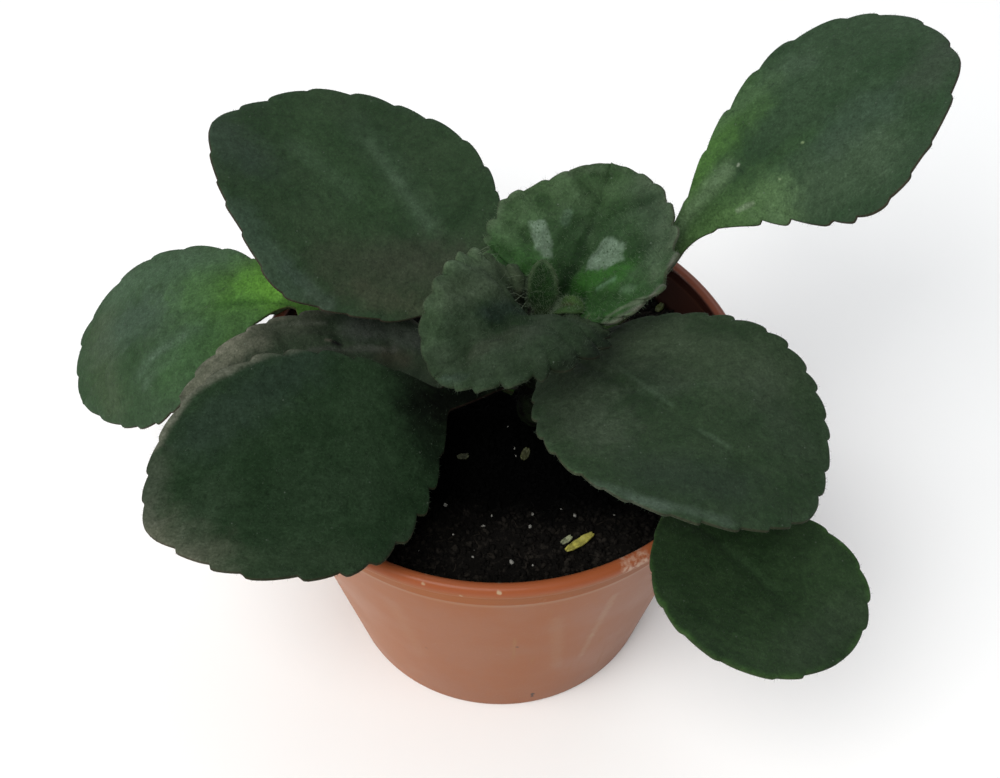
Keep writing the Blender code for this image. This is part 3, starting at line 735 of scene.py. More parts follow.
def onBlade(leaf, rib, x, y, opened):
    # place and normal on the leaf's middle surface; opened is 0 on the petiole and 1 on the blade
    distance, place, side, up = rib
    reach = leaf["petiole"] + x
    centre, across, above = (
        np.stack([np.interp(reach, distance, column) for column in table.T], -1)
        for table in (place, side, up)
    )
    centre = centre + np.minimum(reach, 0)[..., None] * (place[1] - place[0]) / distance[1]
    half = leaf["width"] / 2
    left = y >= 0
    vee, edge = (np.radians(np.where(left, *leaf[name])) * opened for name in ("vee", "edge"))
    bend = edge - vee
    bend = np.where(abs(bend) < 1e-6, 1e-6, bend)
    slope = vee + bend * abs(y) / half
    out = ((np.sin(slope) - np.sin(vee)) / bend * half)[..., None]
    rise = ((np.cos(vee) - np.cos(slope)) / bend * half)[..., None]
    outward = np.where(left[..., None], across, -across)
    # the fold along the midrib is rounded off over leaf["soft"] mm
    rounded = np.maximum(np.hypot(y, leaf["soft"]), 1e-6)
    lift = (rounded - abs(y)) * math.sin(math.radians(sum(leaf["vee"]) / 2)) * opened
    slope = (slope * abs(y) / rounded)[..., None]
    place = centre + outward * out + above * (rise + lift[..., None])
    return place, above * np.cos(slope) - outward * np.sin(slope)


def bladeOutline(leaf):
    share = (1 - np.cos(np.linspace(0, np.pi, blade["outlineStations"]))) / 2
    base, tip = leaf["base"], leaf["tip"]
    widest = base / (base + tip)
    shape = share ** base * (1 - share) ** tip / (widest ** base * (1 - widest) ** tip)
    half = np.hypot(leaf["width"] / 2 * shape, stalkHalf(leaf) * (1 - share))
    table = np.stack([leaf["length"] * share, half], 1)
    arc = np.concatenate([[0], np.cumsum(np.hypot(*np.diff(table, axis=0).T))])
    return table, arc


def widestPlace(leaf):
    return leaf["length"] * leaf["base"] / (leaf["base"] + leaf["tip"])


def openedShare(leaf, x, y):
    # 0 on the petiole and 1 on the blade, lobes beside the petiole included
    return ease(np.maximum(x, np.abs(y) - 1.5 * stalkHalf(leaf)) / blade["blendLength"])


def scallopCut(phase, peak):
    # share of a tooth's depth cut away: a long rounded shoulder, then a short step in towards the tip
    rise = np.clip(1 - phase / peak, 0, 1) ** blade["toothRise"]
    return rise + np.clip((phase - peak) / (1 - peak), 0, 1) ** blade["toothFall"]


def marginStops(leaf, total, depth, chance):
    # for one margin: arc length, depth of the cut and height of the lobe at each row
    bare, bareRows, tipRows = blade["toothless"] * total, blade["bareRows"], blade["tipRows"]
    teeth, rows = leaf["teeth"], np.array(blade["toothRows"])
    shifts = [chance.uniform(-1, 1) * blade["toothShift"] for _ in range(teeth + 1)]
    shifts[0] = shifts[-1] = 0
    places = [bare * np.arange(bareRows) / bareRows]
    cuts = [np.zeros(bareRows)]
    lobes = [np.zeros(bareRows)]
    for index in range(teeth):
        grown = min(1.0, leaf["firstTooth"] + index / 3)
        grown *= chance.uniform(1 - blade["toothVary"], 1) * (1 - leaf["calm"] * ease(index / teeth))
        start = index + shifts[index]
        end = index + 1 + shifts[index + 1]
        share = (start + (end - start) * rows) / teeth
        places.append(bare + (total - bare) * share ** leaf["crowd"])
        cuts.append(grown * depth * scallopCut(rows, leaf["peak"]))
        lobes.append(grown * (np.sin(np.pi * rows) - 0.5))
    lastReach = total - places[-1][-1]
    places.append(places[-1][-1] + lastReach * np.arange(1, tipRows + 1) / (tipRows + 0.3))
    cuts.append(np.zeros(tipRows))
    lobes.append(np.zeros(tipRows))
    places = np.concatenate(places)
    atTip = ease((total - places) / blade["tipReach"])
    return places, np.concatenate(cuts) * atTip, np.concatenate(lobes) * atTip


def marginLine(table, arc, places, cuts):
    reach = blade["marginReach"]
    before, here, after = (
        np.stack([np.interp(places + shift, arc, column) for column in table.T], 1)
        for shift in (-reach, 0, reach)
    )
    run = (after - before) / np.hypot(*(after - before).T)[:, None]
    inward = np.stack([run[:, 1], -run[:, 0]], 1)
    return here + inward * cuts[:, None]


def halfColumns(edge, count):
    # distances from the midrib to the margin for each row, close set beside both
    scale = np.minimum(1, edge / blade["narrow"])[:, None]
    near = np.array(blade["spineColumns"]) * scale
    far = edge[:, None] - np.array(blade["edgeColumns"]) * scale
    between = near[:, -1:] + (far[:, :1] - near[:, -1:]) * np.arange(1, count + 1) / (count + 1)
    return np.hstack([near, between, far])


def stalkStart(leaf):
    if leaf["root"] > stem["top"] + stem["dome"]:
        return 0.0
    reach = stemRadius(leaf["root"]) + stem["scarBulge"] + 0.3
    return reach / math.cos(math.radians(leaf["pitch"][0]))


def leafGrid(leaf):
    # x, y, distance to the margin, side share, vein number and lobe height over the leaf, petiole first
    table, arc = bladeOutline(leaf)
    chance = random.Random(leaf["seed"])
    total = arc[-1]
    stops = [marginStops(leaf, total, depth, chance) for depth in np.broadcast_to(leaf["depth"], 2)]
    middle = (stops[0][0] + stops[1][0]) / 2
    here = np.stack([np.interp(middle, arc, column) for column in table.T], 1)
    spine = here[:, 0] - blade["veinSweep"] * middle / total * here[:, 1]
    start = stalkStart(leaf)
    run = leaf["petiole"] - start
    count = max(2, round(run / blade["stalkStep"]))
    stalkX = start - leaf["petiole"] + run * np.arange(count) / count
    swell = np.clip(1 - (stalkX + leaf["petiole"]) / blade["footLength"], 0, 1) * blade["footSwell"]
    stalkY = stalkHalf(leaf) * (1 + swell)
    halves = []
    for sign, (places, cuts, lobes), sideBulges, lobe in zip((1, -1), stops, leaf["bulges"], leaf["lobes"]):
        margin = marginLine(table, arc, places, cuts)
        edgeY = margin[:, 1] * (1 + sign * leaf["lean"] * ease(margin[:, 0] / blade["blendLength"]))
        for bulgeAt, reach, outward in sideBulges:
            edgeY = edgeY + outward * np.exp(-((margin[:, 0] - bulgeAt) / reach) ** 2)
        basal = np.clip(margin[:, 1] / (leaf["width"] * 0.45), 0, 1)
        beforeWidest = margin[:, 0] < widestPlace(leaf)
        lobed = margin[:, 0] - lobe * np.sin(np.pi * basal) * beforeWidest
        edgeX = np.concatenate([stalkX, lobed])
        edgeY = np.concatenate([stalkY, np.maximum(edgeY, 0.02)])
        y = halfColumns(edgeY, leaf["columns"])
        share = y / edgeY[:, None]
        root = np.concatenate([stalkX, spine])[:, None]
        x = root + (edgeX[:, None] - root) * share ** blade["veinBend"]
        lobing = np.concatenate([0 * stalkX, lobes])[:, None] + 0 * x
        halves.append((x, sign * y, edgeY[:, None] - y, sign * share, lobing))
    left, right = halves
    x, y, rim, side, lobing = (np.hstack([a[:, ::-1], b[:, 1:]]) for a, b in zip(left, right))
    vein = np.concatenate([stalkX / leaf["length"], middle / total])[:, None] * blade["veins"] + 0 * x
    vein = vein + np.where(y < 0, 0.37, 0.0)
    return x, y, rim, side, vein, lobing


def cloud(x, y, size, seed):
    # smooth noise over the flat leaf
    flat = zip((x / size).ravel(), (y / size).ravel())
    return np.array([noise.noise(Vector((a, b, seed))) for a, b in flat]).reshape(x.shape)


def nearLine(x, y, line):
    # distance on the flat leaf to the line (startX, startY, endX, endY)
    startX, startY, endX, endY = line
    runX, runY = endX - startX, endY - startY
    share = np.clip(((x - startX) * runX + (y - startY) * runY) / (runX ** 2 + runY ** 2), 0, 1)
    return np.hypot(x - startX - share * runX, y - startY - share * runY)


def leafRelief(leaf, x, y, rim, side, vein, lobing):
    # heights of the sheet as a whole, of its small swellings alone, and of the grooves on its upper face
    along = np.clip(x / leaf["length"], 0, 1)
    onIt = openedShare(leaf, x, y)
    offRim = np.minimum(1, rim / 2)
    fromVein = np.abs((vein % 1) - 0.5) * 2
    crown = np.sin(np.pi * np.clip(np.abs(side), 0, 1) ** 0.8)
    swell = leaf["quilt"] * (1 - fromVein ** 2) * crown
    seed, outward = leaf["seed"], np.abs(side)
    swell += leaf["quilt"] * relief["lumpShare"] * cloud(x, y, relief["lumpSize"], seed) * offRim
    swell += leaf["crinkle"] * cloud(x, y, relief["crinkleSize"], seed + 20) * offRim
    swell += leaf["pillow"] * lobing * np.exp(-rim / blade["pillowReach"])
    swell = swell * onIt
    sheet = swell + leaf["wave"] * cloud(x, y, relief["waveSize"], seed + 40) * onIt * outward ** 0.7
    ripple = leaf["wave"] * relief["rippleShare"]
    sheet += ripple * cloud(x, y, relief["rippleSize"], seed + 80) * onIt * outward ** 3
    sheet += leaf["frill"] * cloud(x, y, relief["frillSize"], seed + 60) * onIt * outward ** 5
    for *line, reach, height in leaf["puckers"]:
        raised = height * np.exp(-(nearLine(x, y, line) / reach) ** 2)
        sheet += raised
        swell += raised * 0.5
    width = relief["ribWidth"] + relief["ribWidthGain"] * (1 - along)
    depth = relief["ribDepth"] + relief["ribDepthGain"] * (1 - along)
    groove = depth * np.exp(-(y / width) ** 2) * onIt * leaf["rib"]
    veinGap = (1 - fromVein) * leaf["length"] / blade["veins"] / 2
    sideVein = relief["veinDepth"] * np.exp(-(veinGap / relief["veinWidth"]) ** 2)
    groove += sideVein * onIt * np.minimum(1, rim / 3) * (0.3 + leaf["quilt"])
    groove += blade["stalkGroove"] * (1 - side ** 2) * (1 - onIt)
    return sheet, swell, groove


def leafMesh(name, leaf):
    rib = midrib(leaf)
    x, y, rim, side, vein, lobing = leafGrid(leaf)
    rows, columns = x.shape
    opened = openedShare(leaf, x, y)
    place, normal = onBlade(leaf, rib, x, y, opened)
    sheet, swell, groove = leafRelief(leaf, x, y, rim, side, vein, lobing)
    roundOff = np.sqrt(1 - (1 - np.clip(rim / blade["edgeRound"], 0, 1)) ** 2)
    half = blade["thickness"] / 2 * roundOff
    fade = np.clip(1 - x / leaf["length"], 0, 1)
    keelHalf = np.maximum(stalkHalf(leaf) * fade ** 0.5, blade["keelLeast"]) + blade["keelRim"]
    keelHalf = np.minimum(keelHalf, np.maximum(np.abs(y[:, :1]), blade["keelLeast"]))
    keel = blade["stalkDepth"] * keelHalf * fade ** 0.25 * np.sqrt(np.clip(1 - (y / keelHalf) ** 2, 0, 1))
    top = place + normal * (half + sheet - groove * roundOff)[..., None]
    below = half * blade["underThickness"] + keel - sheet + groove * blade["grooveBelow"] * roundOff
    under = place - normal * below[..., None]
    points = np.vstack([top.reshape(-1, 3), under[:, 1:-1].reshape(-1, 3)])
    upper = np.arange(rows * columns).reshape(rows, columns)
    lower = upper.copy()
    lower[:, 1:-1] = rows * columns + np.arange(rows * (columns - 2)).reshape(rows, columns - 2)
    faces = []
    for skin, order in ((upper, (0, 1, 2, 3)), (lower, (0, 3, 2, 1))):
        corners = np.stack([skin[:-1, :-1], skin[:-1, 1:], skin[1:, 1:], skin[1:, :-1]], -1)
        faces += corners.reshape(-1, 4)[:, order].tolist()
    faces.append([*upper[0, ::-1], *lower[0, 1:-1]])
    faces.append([*upper[-1], *lower[-1, -2:0:-1]])
    mesh = smoothMesh(name, points, faces)

    def both(values):
        return np.concatenate([values.ravel(), values[:, 1:-1].ravel()])

    onTop = np.arange(len(points)) < rows * columns
    furry = 1 + leaf["fringe"] * np.exp(-rim / hair["fringeReach"]) + leaf["stalkFur"] * (1 - opened)
    silky = np.exp(-((x - hair["silkPlace"]) / hair["silkReach"]) ** 2) * (y < -hair["silkBeside"])
    fields = {
        "rim": both(rim), "vein": both(vein), "along": both(x / leaf["length"]), "across": both(y),
        "swell": both(swell - groove), "under": ~onTop,
        "furry": both(furry) * np.where(onTop, 1, hair["furUnder"]), "silky": both(silky) * onTop,
    }
    for label, values in fields.items():
        addAttribute(mesh, label, values)
    flat = mesh.uv_layers.new(name="flat")
    corner = np.empty(len(mesh.loops), np.int32)
    mesh.loops.foreach_get("vertex_index", corner)
    uv = np.stack([both(x), both(y)], 1) / blade["flatUnit"]
    flat.data.foreach_set("uv", uv[corner].astype(np.float32).ravel())
    return mesh


# Leaf finish. deep and fresh are the blade's two greens. glow is a yellower green by the petiole and how
# far it reaches, as a share of the blade, the young colour with painted light through the thin base on the
# brightest leaves; border is the tint of the margin and its width; rim is its very edge; rib is how clearly
# the midrib shows; under is the lower face; relief is how strongly hollows are painted shaded and swellings
# painted lit; gloss is the strength of the highlights.
# Each of the marks is a soft line on the flat leaf (start x, y, end x, y, with x along the midrib and y to
# its left), its reach in mm, its strength and its colour. A shiny patch is a painted highlight, a pale
# reflection off a swelling of the blade, given by its corners, anticlockwise.
darkLook = {
    "deep": (0.0118, 0.0290, 0.0102), "fresh": (0.0190, 0.0385, 0.0157), "glow": (0.030, 0.040, 0.017),
    "glowReach": 0.12, "glowShare": 0.4, "border": (0.030, 0.052, 0.030), "borderWidth": 2.4,
    "borderShare": 0.30, "rim": (0.030, 0.014, 0.011), "rimShare": 0.7, "rib": 0.10,
    "ribColour": (0.055, 0.085, 0.052), "speckShare": 0.55, "under": (0.050, 0.070, 0.038),
    "relief": 0.5, "gloss": 0.12, "marks": (), "highlightPatches": (),
}
paleVein = (0.060, 0.098, 0.058)
# a painted sheen, blue-grey where the down shines at a grazing angle
blueGreySheen = (0.056, 0.090, 0.068)
olive = (0.026, 0.031, 0.020)
limeGreen = (0.105, 0.265, 0.032)
leafLooks = {
    "leaf_back_left": dict(darkLook, marks=(
        ((13.5, -4.0, 23.2, -8.1), 2.0, 0.26, paleVein),
        ((23.2, -8.1, 31.0, -12.4), 1.7, 0.22, paleVein),
        ((12.5, -3.5, 34.4, -14.6), 5.0, 0.16, paleVein),
        ((28.2, -1.2, 41.0, -3.6), 3.6, 0.24, paleVein),
        # painted sheen along the margin
        ((26.0, 22.5, 43.0, 16.5), 5.5, 0.26, blueGreySheen),
        ((18.0, 20.0, 28.0, 20.0), 2.6, 0.45, (0.040, 0.062, 0.046)),
        ((46.0, 4.0, 54.0, 2.0), 8.0, 0.35, (0.026, 0.040, 0.034)),
        ((6.0, -2.0, 16.0, 6.0), 7.5, 0.45, olive),
        ((6.0, 4.0, 20.0, 12.0), 11.0, 0.45, (0.032, 0.036, 0.022)),
        ((40.0, -8.0, 22.0, 2.0), 10.0, 0.35, (0.016, 0.042, 0.013)),
        ((5.0, 10.0, 15.0, 14.5), 4.0, 0.50, (0.040, 0.046, 0.026)),
    )),
    "leaf_left": dict(
        darkLook, deep=(0.021, 0.047, 0.018), fresh=(0.030, 0.058, 0.027), glow=(0.070, 0.165, 0.018),
        glowReach=0.42, glowShare=0.85, rib=0.06, marks=(
            ((22.0, -3.0, 38.0, -5.0), 8.5, 0.50, (0.046, 0.074, 0.053)),
            ((19.0, 5.5, 34.0, 8.5), 3.4, 0.30, (0.070, 0.115, 0.074)),
            ((22.0, 6.4, 30.0, 7.4), 1.5, 0.30, (0.085, 0.130, 0.088)),
            ((24.0, 10.0, 34.0, 11.5), 1.8, 0.25, (0.070, 0.110, 0.074)),
            ((14.0, -10.0, 34.0, -15.0), 7.0, 0.42, (0.060, 0.108, 0.062)),
            # painted light shining through the thin base, with the young yellow-green
            ((7.0, 0.0, 20.0, -3.0), 9.5, 0.50, (0.050, 0.125, 0.026)),
            ((0.0, -0.5, 8.0, -3.0), 9.0, 0.66, (0.080, 0.215, 0.026)),
            ((-1.0, -0.5, 5.0, -2.5), 5.5, 0.70, limeGreen),
            ((9.0, 5.0, 26.0, 13.0), 8.0, 0.50, (0.038, 0.090, 0.030)),
            ((-8.0, 0.0, 1.5, 0.5), 4.5, 0.85, (0.036, 0.090, 0.016)),
            ((40.0, -10.0, 44.0, 8.0), 7.0, 0.35, (0.050, 0.068, 0.034)),
            ((6.0, 0.5, 15.0, 1.5), 1.3, 0.40, (0.018, 0.060, 0.010)),
        ),
    ),
    "leaf_front_left": dict(
        darkLook, deep=(0.0090, 0.0208, 0.0084), fresh=(0.0138, 0.0282, 0.0126), border=(0.022, 0.032, 0.020),
        rimShare=0.4, gloss=0.03, marks=(
            ((20.0, -16.0, 40.0, -12.0), 9.0, 0.45, (0.016, 0.026, 0.020)),
            ((14.0, -17.0, 26.0, -20.6), 1.5, 0.55, (0.070, 0.078, 0.056)),
            ((26.0, -20.8, 38.0, -20.6), 1.7, 0.75, (0.090, 0.096, 0.070)),
            ((38.0, -20.6, 48.0, -14.5), 1.7, 0.75, (0.100, 0.106, 0.078)),
            ((56.0, 0.0, 50.0, 13.0), 8.0, 0.58, (0.078, 0.084, 0.058)),
            ((32.0, 22.0, 47.0, 16.0), 7.0, 0.40, (0.028, 0.046, 0.024)),
            ((56.0, 1.0, 52.0, 11.0), 3.2, 0.36, (0.100, 0.104, 0.074)),
            ((54.0, -2.0, 49.0, -11.0), 4.5, 0.40, (0.060, 0.070, 0.050)),
            # painted shade: the base of the blade darkened under the crown
            ((3.0, -6.0, 6.0, 8.0), 8.0, 0.85, (0.0030, 0.0060, 0.0028)),
            ((44.0, 0.0, 50.0, 6.0), 6.0, 0.35, (0.026, 0.044, 0.024)),
            ((22.0, 10.0, 32.0, 6.0), 7.0, 0.30, (0.014, 0.026, 0.013)),
            # painted shade: the petiole darkened to near black under the crown
            ((-20.0, 0.0, 1.0, 0.5), 9.0, 0.95, (0.0012, 0.0016, 0.0010)),
        ),
    ),
    # grey-brown: partly the older leaf's own colour, partly painted sheen of the down seen at a grazing angle
    "leaf_low_left": dict(
        darkLook, deep=(0.0076, 0.0150, 0.0070), fresh=(0.0168, 0.0272, 0.0140), border=(0.085, 0.085, 0.062),
        borderWidth=1.6, borderShare=0.6, rimShare=0.2, rib=0.0, speckShare=1.0, marks=(
            ((46.0, -1.0, 36.0, -8.5), 6.0, 0.72, (0.105, 0.110, 0.076)),
            ((42.5, -6.5, 34.0, -11.6), 1.6, 0.60, (0.130, 0.132, 0.096)),
            ((34.0, -11.6, 25.0, -13.8), 1.4, 0.50, (0.090, 0.094, 0.068)),
            ((34.0, -9.0, 24.0, -11.0), 4.5, 0.40, (0.050, 0.055, 0.038)),
            ((8.0, -1.1, 11.0, -2.5), 3.0, 0.40, (0.026, 0.018, 0.012)),
            ((19.0, -4.7, 20.0, -5.2), 1.0, 1.00, (0.002, 0.002, 0.002)),
            ((20.6, -5.6, 21.4, -5.7), 0.6, 0.40, (0.070, 0.062, 0.048)),
            ((24.0, -4.0, 10.0, -3.2), 1.2, 0.30, (0.055, 0.056, 0.050)),
            ((26.0, -8.0, 14.0, -6.6), 1.0, 0.28, (0.012, 0.014, 0.010)),
            ((16.0, -8.4, 2.7, -5.2), 4.5, 0.55, (0.034, 0.040, 0.034)),
            ((21.6, -9.8, 29.0, -10.4), 1.0, 0.25, (0.080, 0.090, 0.068)),
        ),
    ),
    "leaf_back_right": dict(
        darkLook, deep=(0.0158, 0.0385, 0.0150), fresh=(0.0235, 0.0480, 0.0220), glow=(0.044, 0.112, 0.019),
        glowReach=0.34, glowShare=0.75, rib=0.04, marks=(
            # painted light shining through the thin base, with the young yellow-green
            ((8.0, 3.5, 26.0, 12.0), 8.0, 0.42, (0.050, 0.118, 0.024)),
            ((6.0, 3.0, 20.0, 9.5), 5.0, 0.30, (0.058, 0.150, 0.024)),
            ((5.0, -3.0, 20.0, -9.5), 9.5, 0.66, (0.080, 0.160, 0.050)),
            ((3.0, 0.8, 17.0, 2.0), 3.0, 0.60, (0.095, 0.150, 0.078)),
            ((8.0, -1.2, 34.0, -2.6), 2.6, 0.38, (0.022, 0.054, 0.016)),
            ((20.0, -11.0, 42.0, -14.0), 10.0, 0.40, (0.056, 0.088, 0.050)),
            ((24.0, -6.0, 24.2, -6.2), 0.28, 0.50, (0.180, 0.240, 0.130)),
            ((14.5, -5.0, 17.5, -6.0), 0.7, 0.50, (0.170, 0.220, 0.140)),
            ((20.0, 12.0, 36.0, 13.0), 4.5, 0.32, (0.054, 0.086, 0.054)),
            ((36.0, -6.0, 46.0, -4.0), 7.0, 0.30, (0.036, 0.058, 0.044)),
            ((54.0, -2.0, 58.0, 4.0), 7.0, 0.40, (0.036, 0.046, 0.034)),
            ((19.3, 1.2, 19.5, 1.3), 0.4, 0.70, (0.220, 0.260, 0.190)),
            ((30.7, -3.0, 30.9, -3.1), 0.4, 0.60, (0.180, 0.250, 0.120)),
            ((-20.0, 0.0, 1.0, 0.0), 4.0, 0.60, (0.060, 0.105, 0.036)),
        ),
    ),
    "leaf_front_right": dict(
        darkLook, deep=(0.0118, 0.0275, 0.0100), fresh=(0.0182, 0.0350, 0.0150), border=(0.042, 0.074, 0.040),
        borderShare=0.20, rimShare=0.4, marks=(
            ((9.0, 2.7, 26.6, 1.2), 0.9, 0.28, paleVein),
            ((33.5, 0.2, 39.0, 0.7), 0.8, 0.32, paleVein),
            ((5.0, 2.0, 22.0, 5.0), 7.0, 0.35, (0.026, 0.034, 0.025)),
            ((18.4, 0.7, 28.0, -9.0), 0.9, 0.40, (0.008, 0.018, 0.007)),
            ((20.3, 0.4, 30.1, 11.3), 1.1, 0.14, paleVein),
            # painted light: the next three marks lift the parts under the front crown leaf out of its shadow
            ((14.0, 10.0, 32.0, 17.0), 13.0, 0.42, (0.042, 0.060, 0.034)),
            ((5.0, 7.0, 14.0, 12.0), 9.0, 0.48, (0.046, 0.068, 0.038)),
            ((7.0, -4.0, 21.0, -11.0), 11.0, 0.55, (0.044, 0.060, 0.038)),
            ((34.0, 15.0, 46.0, 10.0), 7.0, 0.20, (0.034, 0.048, 0.032)),
            ((34.0, -12.0, 44.0, -6.0), 8.0, 0.35, (0.016, 0.024, 0.019)),
            ((8.0, -17.5, 28.0, -22.6), 2.2, 0.30, (0.044, 0.082, 0.036)),
            ((30.0, -22.0, 48.0, -13.0), 1.8, 0.34, (0.062, 0.092, 0.066)),
            ((36.0, -20.0, 40.0, -18.0), 1.8, 0.40, (0.085, 0.120, 0.090)),
            # painted shade on the petiole, then a painted shadow cast by the lobes of the front crown leaf
            ((-6.0, 0.0, 0.0, 0.0), 4.0, 0.85, (0.004, 0.006, 0.003)),
            ((2.5, 3.5, 4.5, 9.5), 3.0, 0.75, (0.006, 0.010, 0.005)),
        ),
    ),
    "leaf_low_right": dict(
        darkLook, deep=(0.0090, 0.0235, 0.0068), fresh=(0.0175, 0.0375, 0.0130), rimShare=0.2, rib=0.04,
        border=(0.034, 0.085, 0.018), borderWidth=1.3, borderShare=0.5, marks=(
            ((13.0, 0.1, 24.0, 0.5), 1.4, 0.16, (0.040, 0.080, 0.034)),
            ((34.0, -6.0, 34.0, 8.0), 6.0, 0.40, (0.028, 0.044, 0.024)),
            ((4.0, 4.0, 12.0, 8.0), 7.0, 0.55, (0.005, 0.021, 0.003)),
            # painted shade: the petiole darkened under the crown
            ((-37.0, 0.0, -4.0, 0.0), 4.0, 0.80, (0.008, 0.014, 0.006)),
        ),
    ),
    "leaf_crown_back": dict(
        darkLook, deep=(0.0110, 0.0320, 0.0085), fresh=(0.0270, 0.0530, 0.0225), glow=(0.015, 0.064, 0.008),
        glowReach=0.5, glowShare=0.6, border=(0.072, 0.100, 0.060), borderWidth=2.4, borderShare=0.6,
        relief=1.6, rimShare=0.35, speckShare=1.0, marks=(
            ((9.0, 14.0, 19.0, 11.0), 7.0, 0.50, (0.052, 0.096, 0.040)),
            ((18.0, 9.0, 24.0, -5.0), 7.5, 0.38, (0.044, 0.082, 0.032)),
            ((6.4, -22.0, 2.0, -16.7), 0.6, 0.40, (0.110, 0.125, 0.090)),
            ((15.0, -16.0, 22.0, -8.0), 5.0, 0.35, (0.036, 0.052, 0.034)),
            ((4.0, -3.0, 9.0, -13.0), 3.4, 0.60, (0.020, 0.084, 0.010)),
            # painted shade along the fold of the midrib
            ((5.0, 1.0, 14.0, 3.0), 3.6, 0.60, (0.009, 0.028, 0.007)),
            ((3.0, 0.3, 13.5, 0.8), 1.3, 0.60, (0.005, 0.020, 0.004)),
            ((13.2, 4.8, 14.8, 5.0), 1.3, 0.45, (0.060, 0.105, 0.062)),
            ((4.9, -9.8, 7.2, -13.0), 0.8, 0.55, (0.060, 0.120, 0.062)),
            ((6.0, -16.0, 7.0, -18.4), 1.1, 0.40, (0.060, 0.110, 0.056)),
            ((10.0, -20.0, 16.0, -16.0), 2.4, 0.32, (0.060, 0.092, 0.052)),
            ((12.2, -22.0, 6.2, -24.1), 1.2, 0.50, (0.100, 0.098, 0.082)),
            ((6.2, -24.1, 1.0, -17.8), 1.1, 0.50, (0.100, 0.098, 0.082)),
            ((1.0, -17.8, -1.3, -9.0), 1.0, 0.40, (0.090, 0.098, 0.072)),
        # painted highlights: pale reflections on swellings of the blade
        ), highlightPatches=(
            ((7.1, 8.1), (5.4, 5.7), (6.5, 4.3), (8.6, 4.9), (12.4, 8.1), (10.8, 10.6)),
            ((7.9, -8.4), (10.2, -11.2), (12.9, -9.9), (13.1, -5.1), (10.1, -2.4), (6.8, -4.6)),
        ),
    ),
    "leaf_crown_front": dict(
        darkLook, deep=(0.0100, 0.0215, 0.0085), fresh=(0.0215, 0.0355, 0.0185), glowReach=0.3, glowShare=0.3,
        border=(0.034, 0.062, 0.028), borderWidth=2.6, borderShare=0.4, relief=1.5, rimShare=0.15,
        speckShare=0.8, gloss=0.06, marks=(
            ((7.0, -7.0, 17.0, -11.0), 5.0, 0.48, (0.050, 0.072, 0.040)),
            ((-2.0, -9.0, 6.0, -13.0), 4.5, 0.60, (0.056, 0.080, 0.042)),
            ((5.0, -13.5, 13.0, -14.5), 3.8, 0.62, (0.060, 0.096, 0.050)),
            ((-8.0, -10.0, 0.0, -13.0), 3.4, 0.55, (0.044, 0.062, 0.034)),
            ((2.0, -1.0, 12.0, -3.5), 3.2, 0.50, (0.012, 0.020, 0.017)),
            ((-5.0, -4.0, 1.0, -6.0), 3.0, 0.45, (0.020, 0.017, 0.011)),
            ((15.0, 16.0, 24.0, -2.0), 5.0, 0.35, (0.014, 0.025, 0.012)),
            ((18.0, -10.0, 21.0, -6.0), 3.0, 0.35, (0.032, 0.060, 0.026)),
            ((22.0, 5.0, 24.0, 2.0), 1.6, 0.25, (0.042, 0.068, 0.054)),
            ((12.0, 4.0, 18.0, 2.0), 4.0, 0.30, (0.032, 0.034, 0.024)),
            ((6.0, 5.0, 14.0, 7.0), 3.0, 0.35, (0.030, 0.040, 0.026)),
            # painted shade: dark gaps under the lobes of the lower margin
            ((2.0, 16.6, 12.0, 17.4), 5.0, 0.92, (0.003, 0.006, 0.003)),
            ((12.0, 17.0, 18.0, 14.5), 3.6, 0.75, (0.005, 0.009, 0.004)),
            ((16.0, 12.0, 22.0, 6.0), 4.0, 0.40, (0.014, 0.024, 0.012)),
            ((18.0, 13.0, 23.0, 8.0), 3.0, 0.40, (0.018, 0.032, 0.016)),
        ),
    ),
    "leaf_bud_upright": dict(
        darkLook, deep=(0.010, 0.032, 0.008), fresh=(0.020, 0.054, 0.014), border=(0.060, 0.085, 0.045),
        borderWidth=1.0, borderShare=0.5, rimShare=0.1, relief=1.0,
    ),
    "leaf_bud_curled": dict(
        darkLook, deep=(0.022, 0.052, 0.011), fresh=(0.040, 0.078, 0.017), rimShare=0.1, relief=1.0, marks=(
            ((1.5, 0.0, 4.0, 0.0), 1.0, 0.60, (0.030, 0.020, 0.010)),
        ),
    ),
}


def nearMark(f, x, y, line, reach, ragged):
    # 1 along the line on the flat surface, easing to 0 at its reach
    startX, startY, endX, endY = line
    runX, runY = endX - startX, endY - startY
    offX, offY = x - startX, y - startY
    ahead = (offX * runX + offY * runY) / (runX ** 2 + runY ** 2)
    share = f.node("ShaderNodeClamp", {}, {"Value": ahead})
    gapX, gapY = offX - share * runX, offY - share * runY
    away = f.calc("SQRT", gapX * gapX + gapY * gapY) + ragged * reach
    return f.fade(away, reach * 1.15, reach * 0.1) ** 1.5


def onPatch(f, x, y, corners, ragged):
    # 1 inside the patch with these corners on the flat leaf, easing to 0 at its edges
    depth = velvet["patchDepth"]
    for (startX, startY), (endX, endY) in zip(corners, corners[1:] + corners[:1]):
        length = math.hypot(endX - startX, endY - startY)
        gap = (y - startY) * ((endX - startX) / length) - (x - startX) * ((endY - startY) / length)
        depth = f.calc("MINIMUM", gap, depth)
    return f.fade(depth + ragged * 2, -0.3, 0.6)


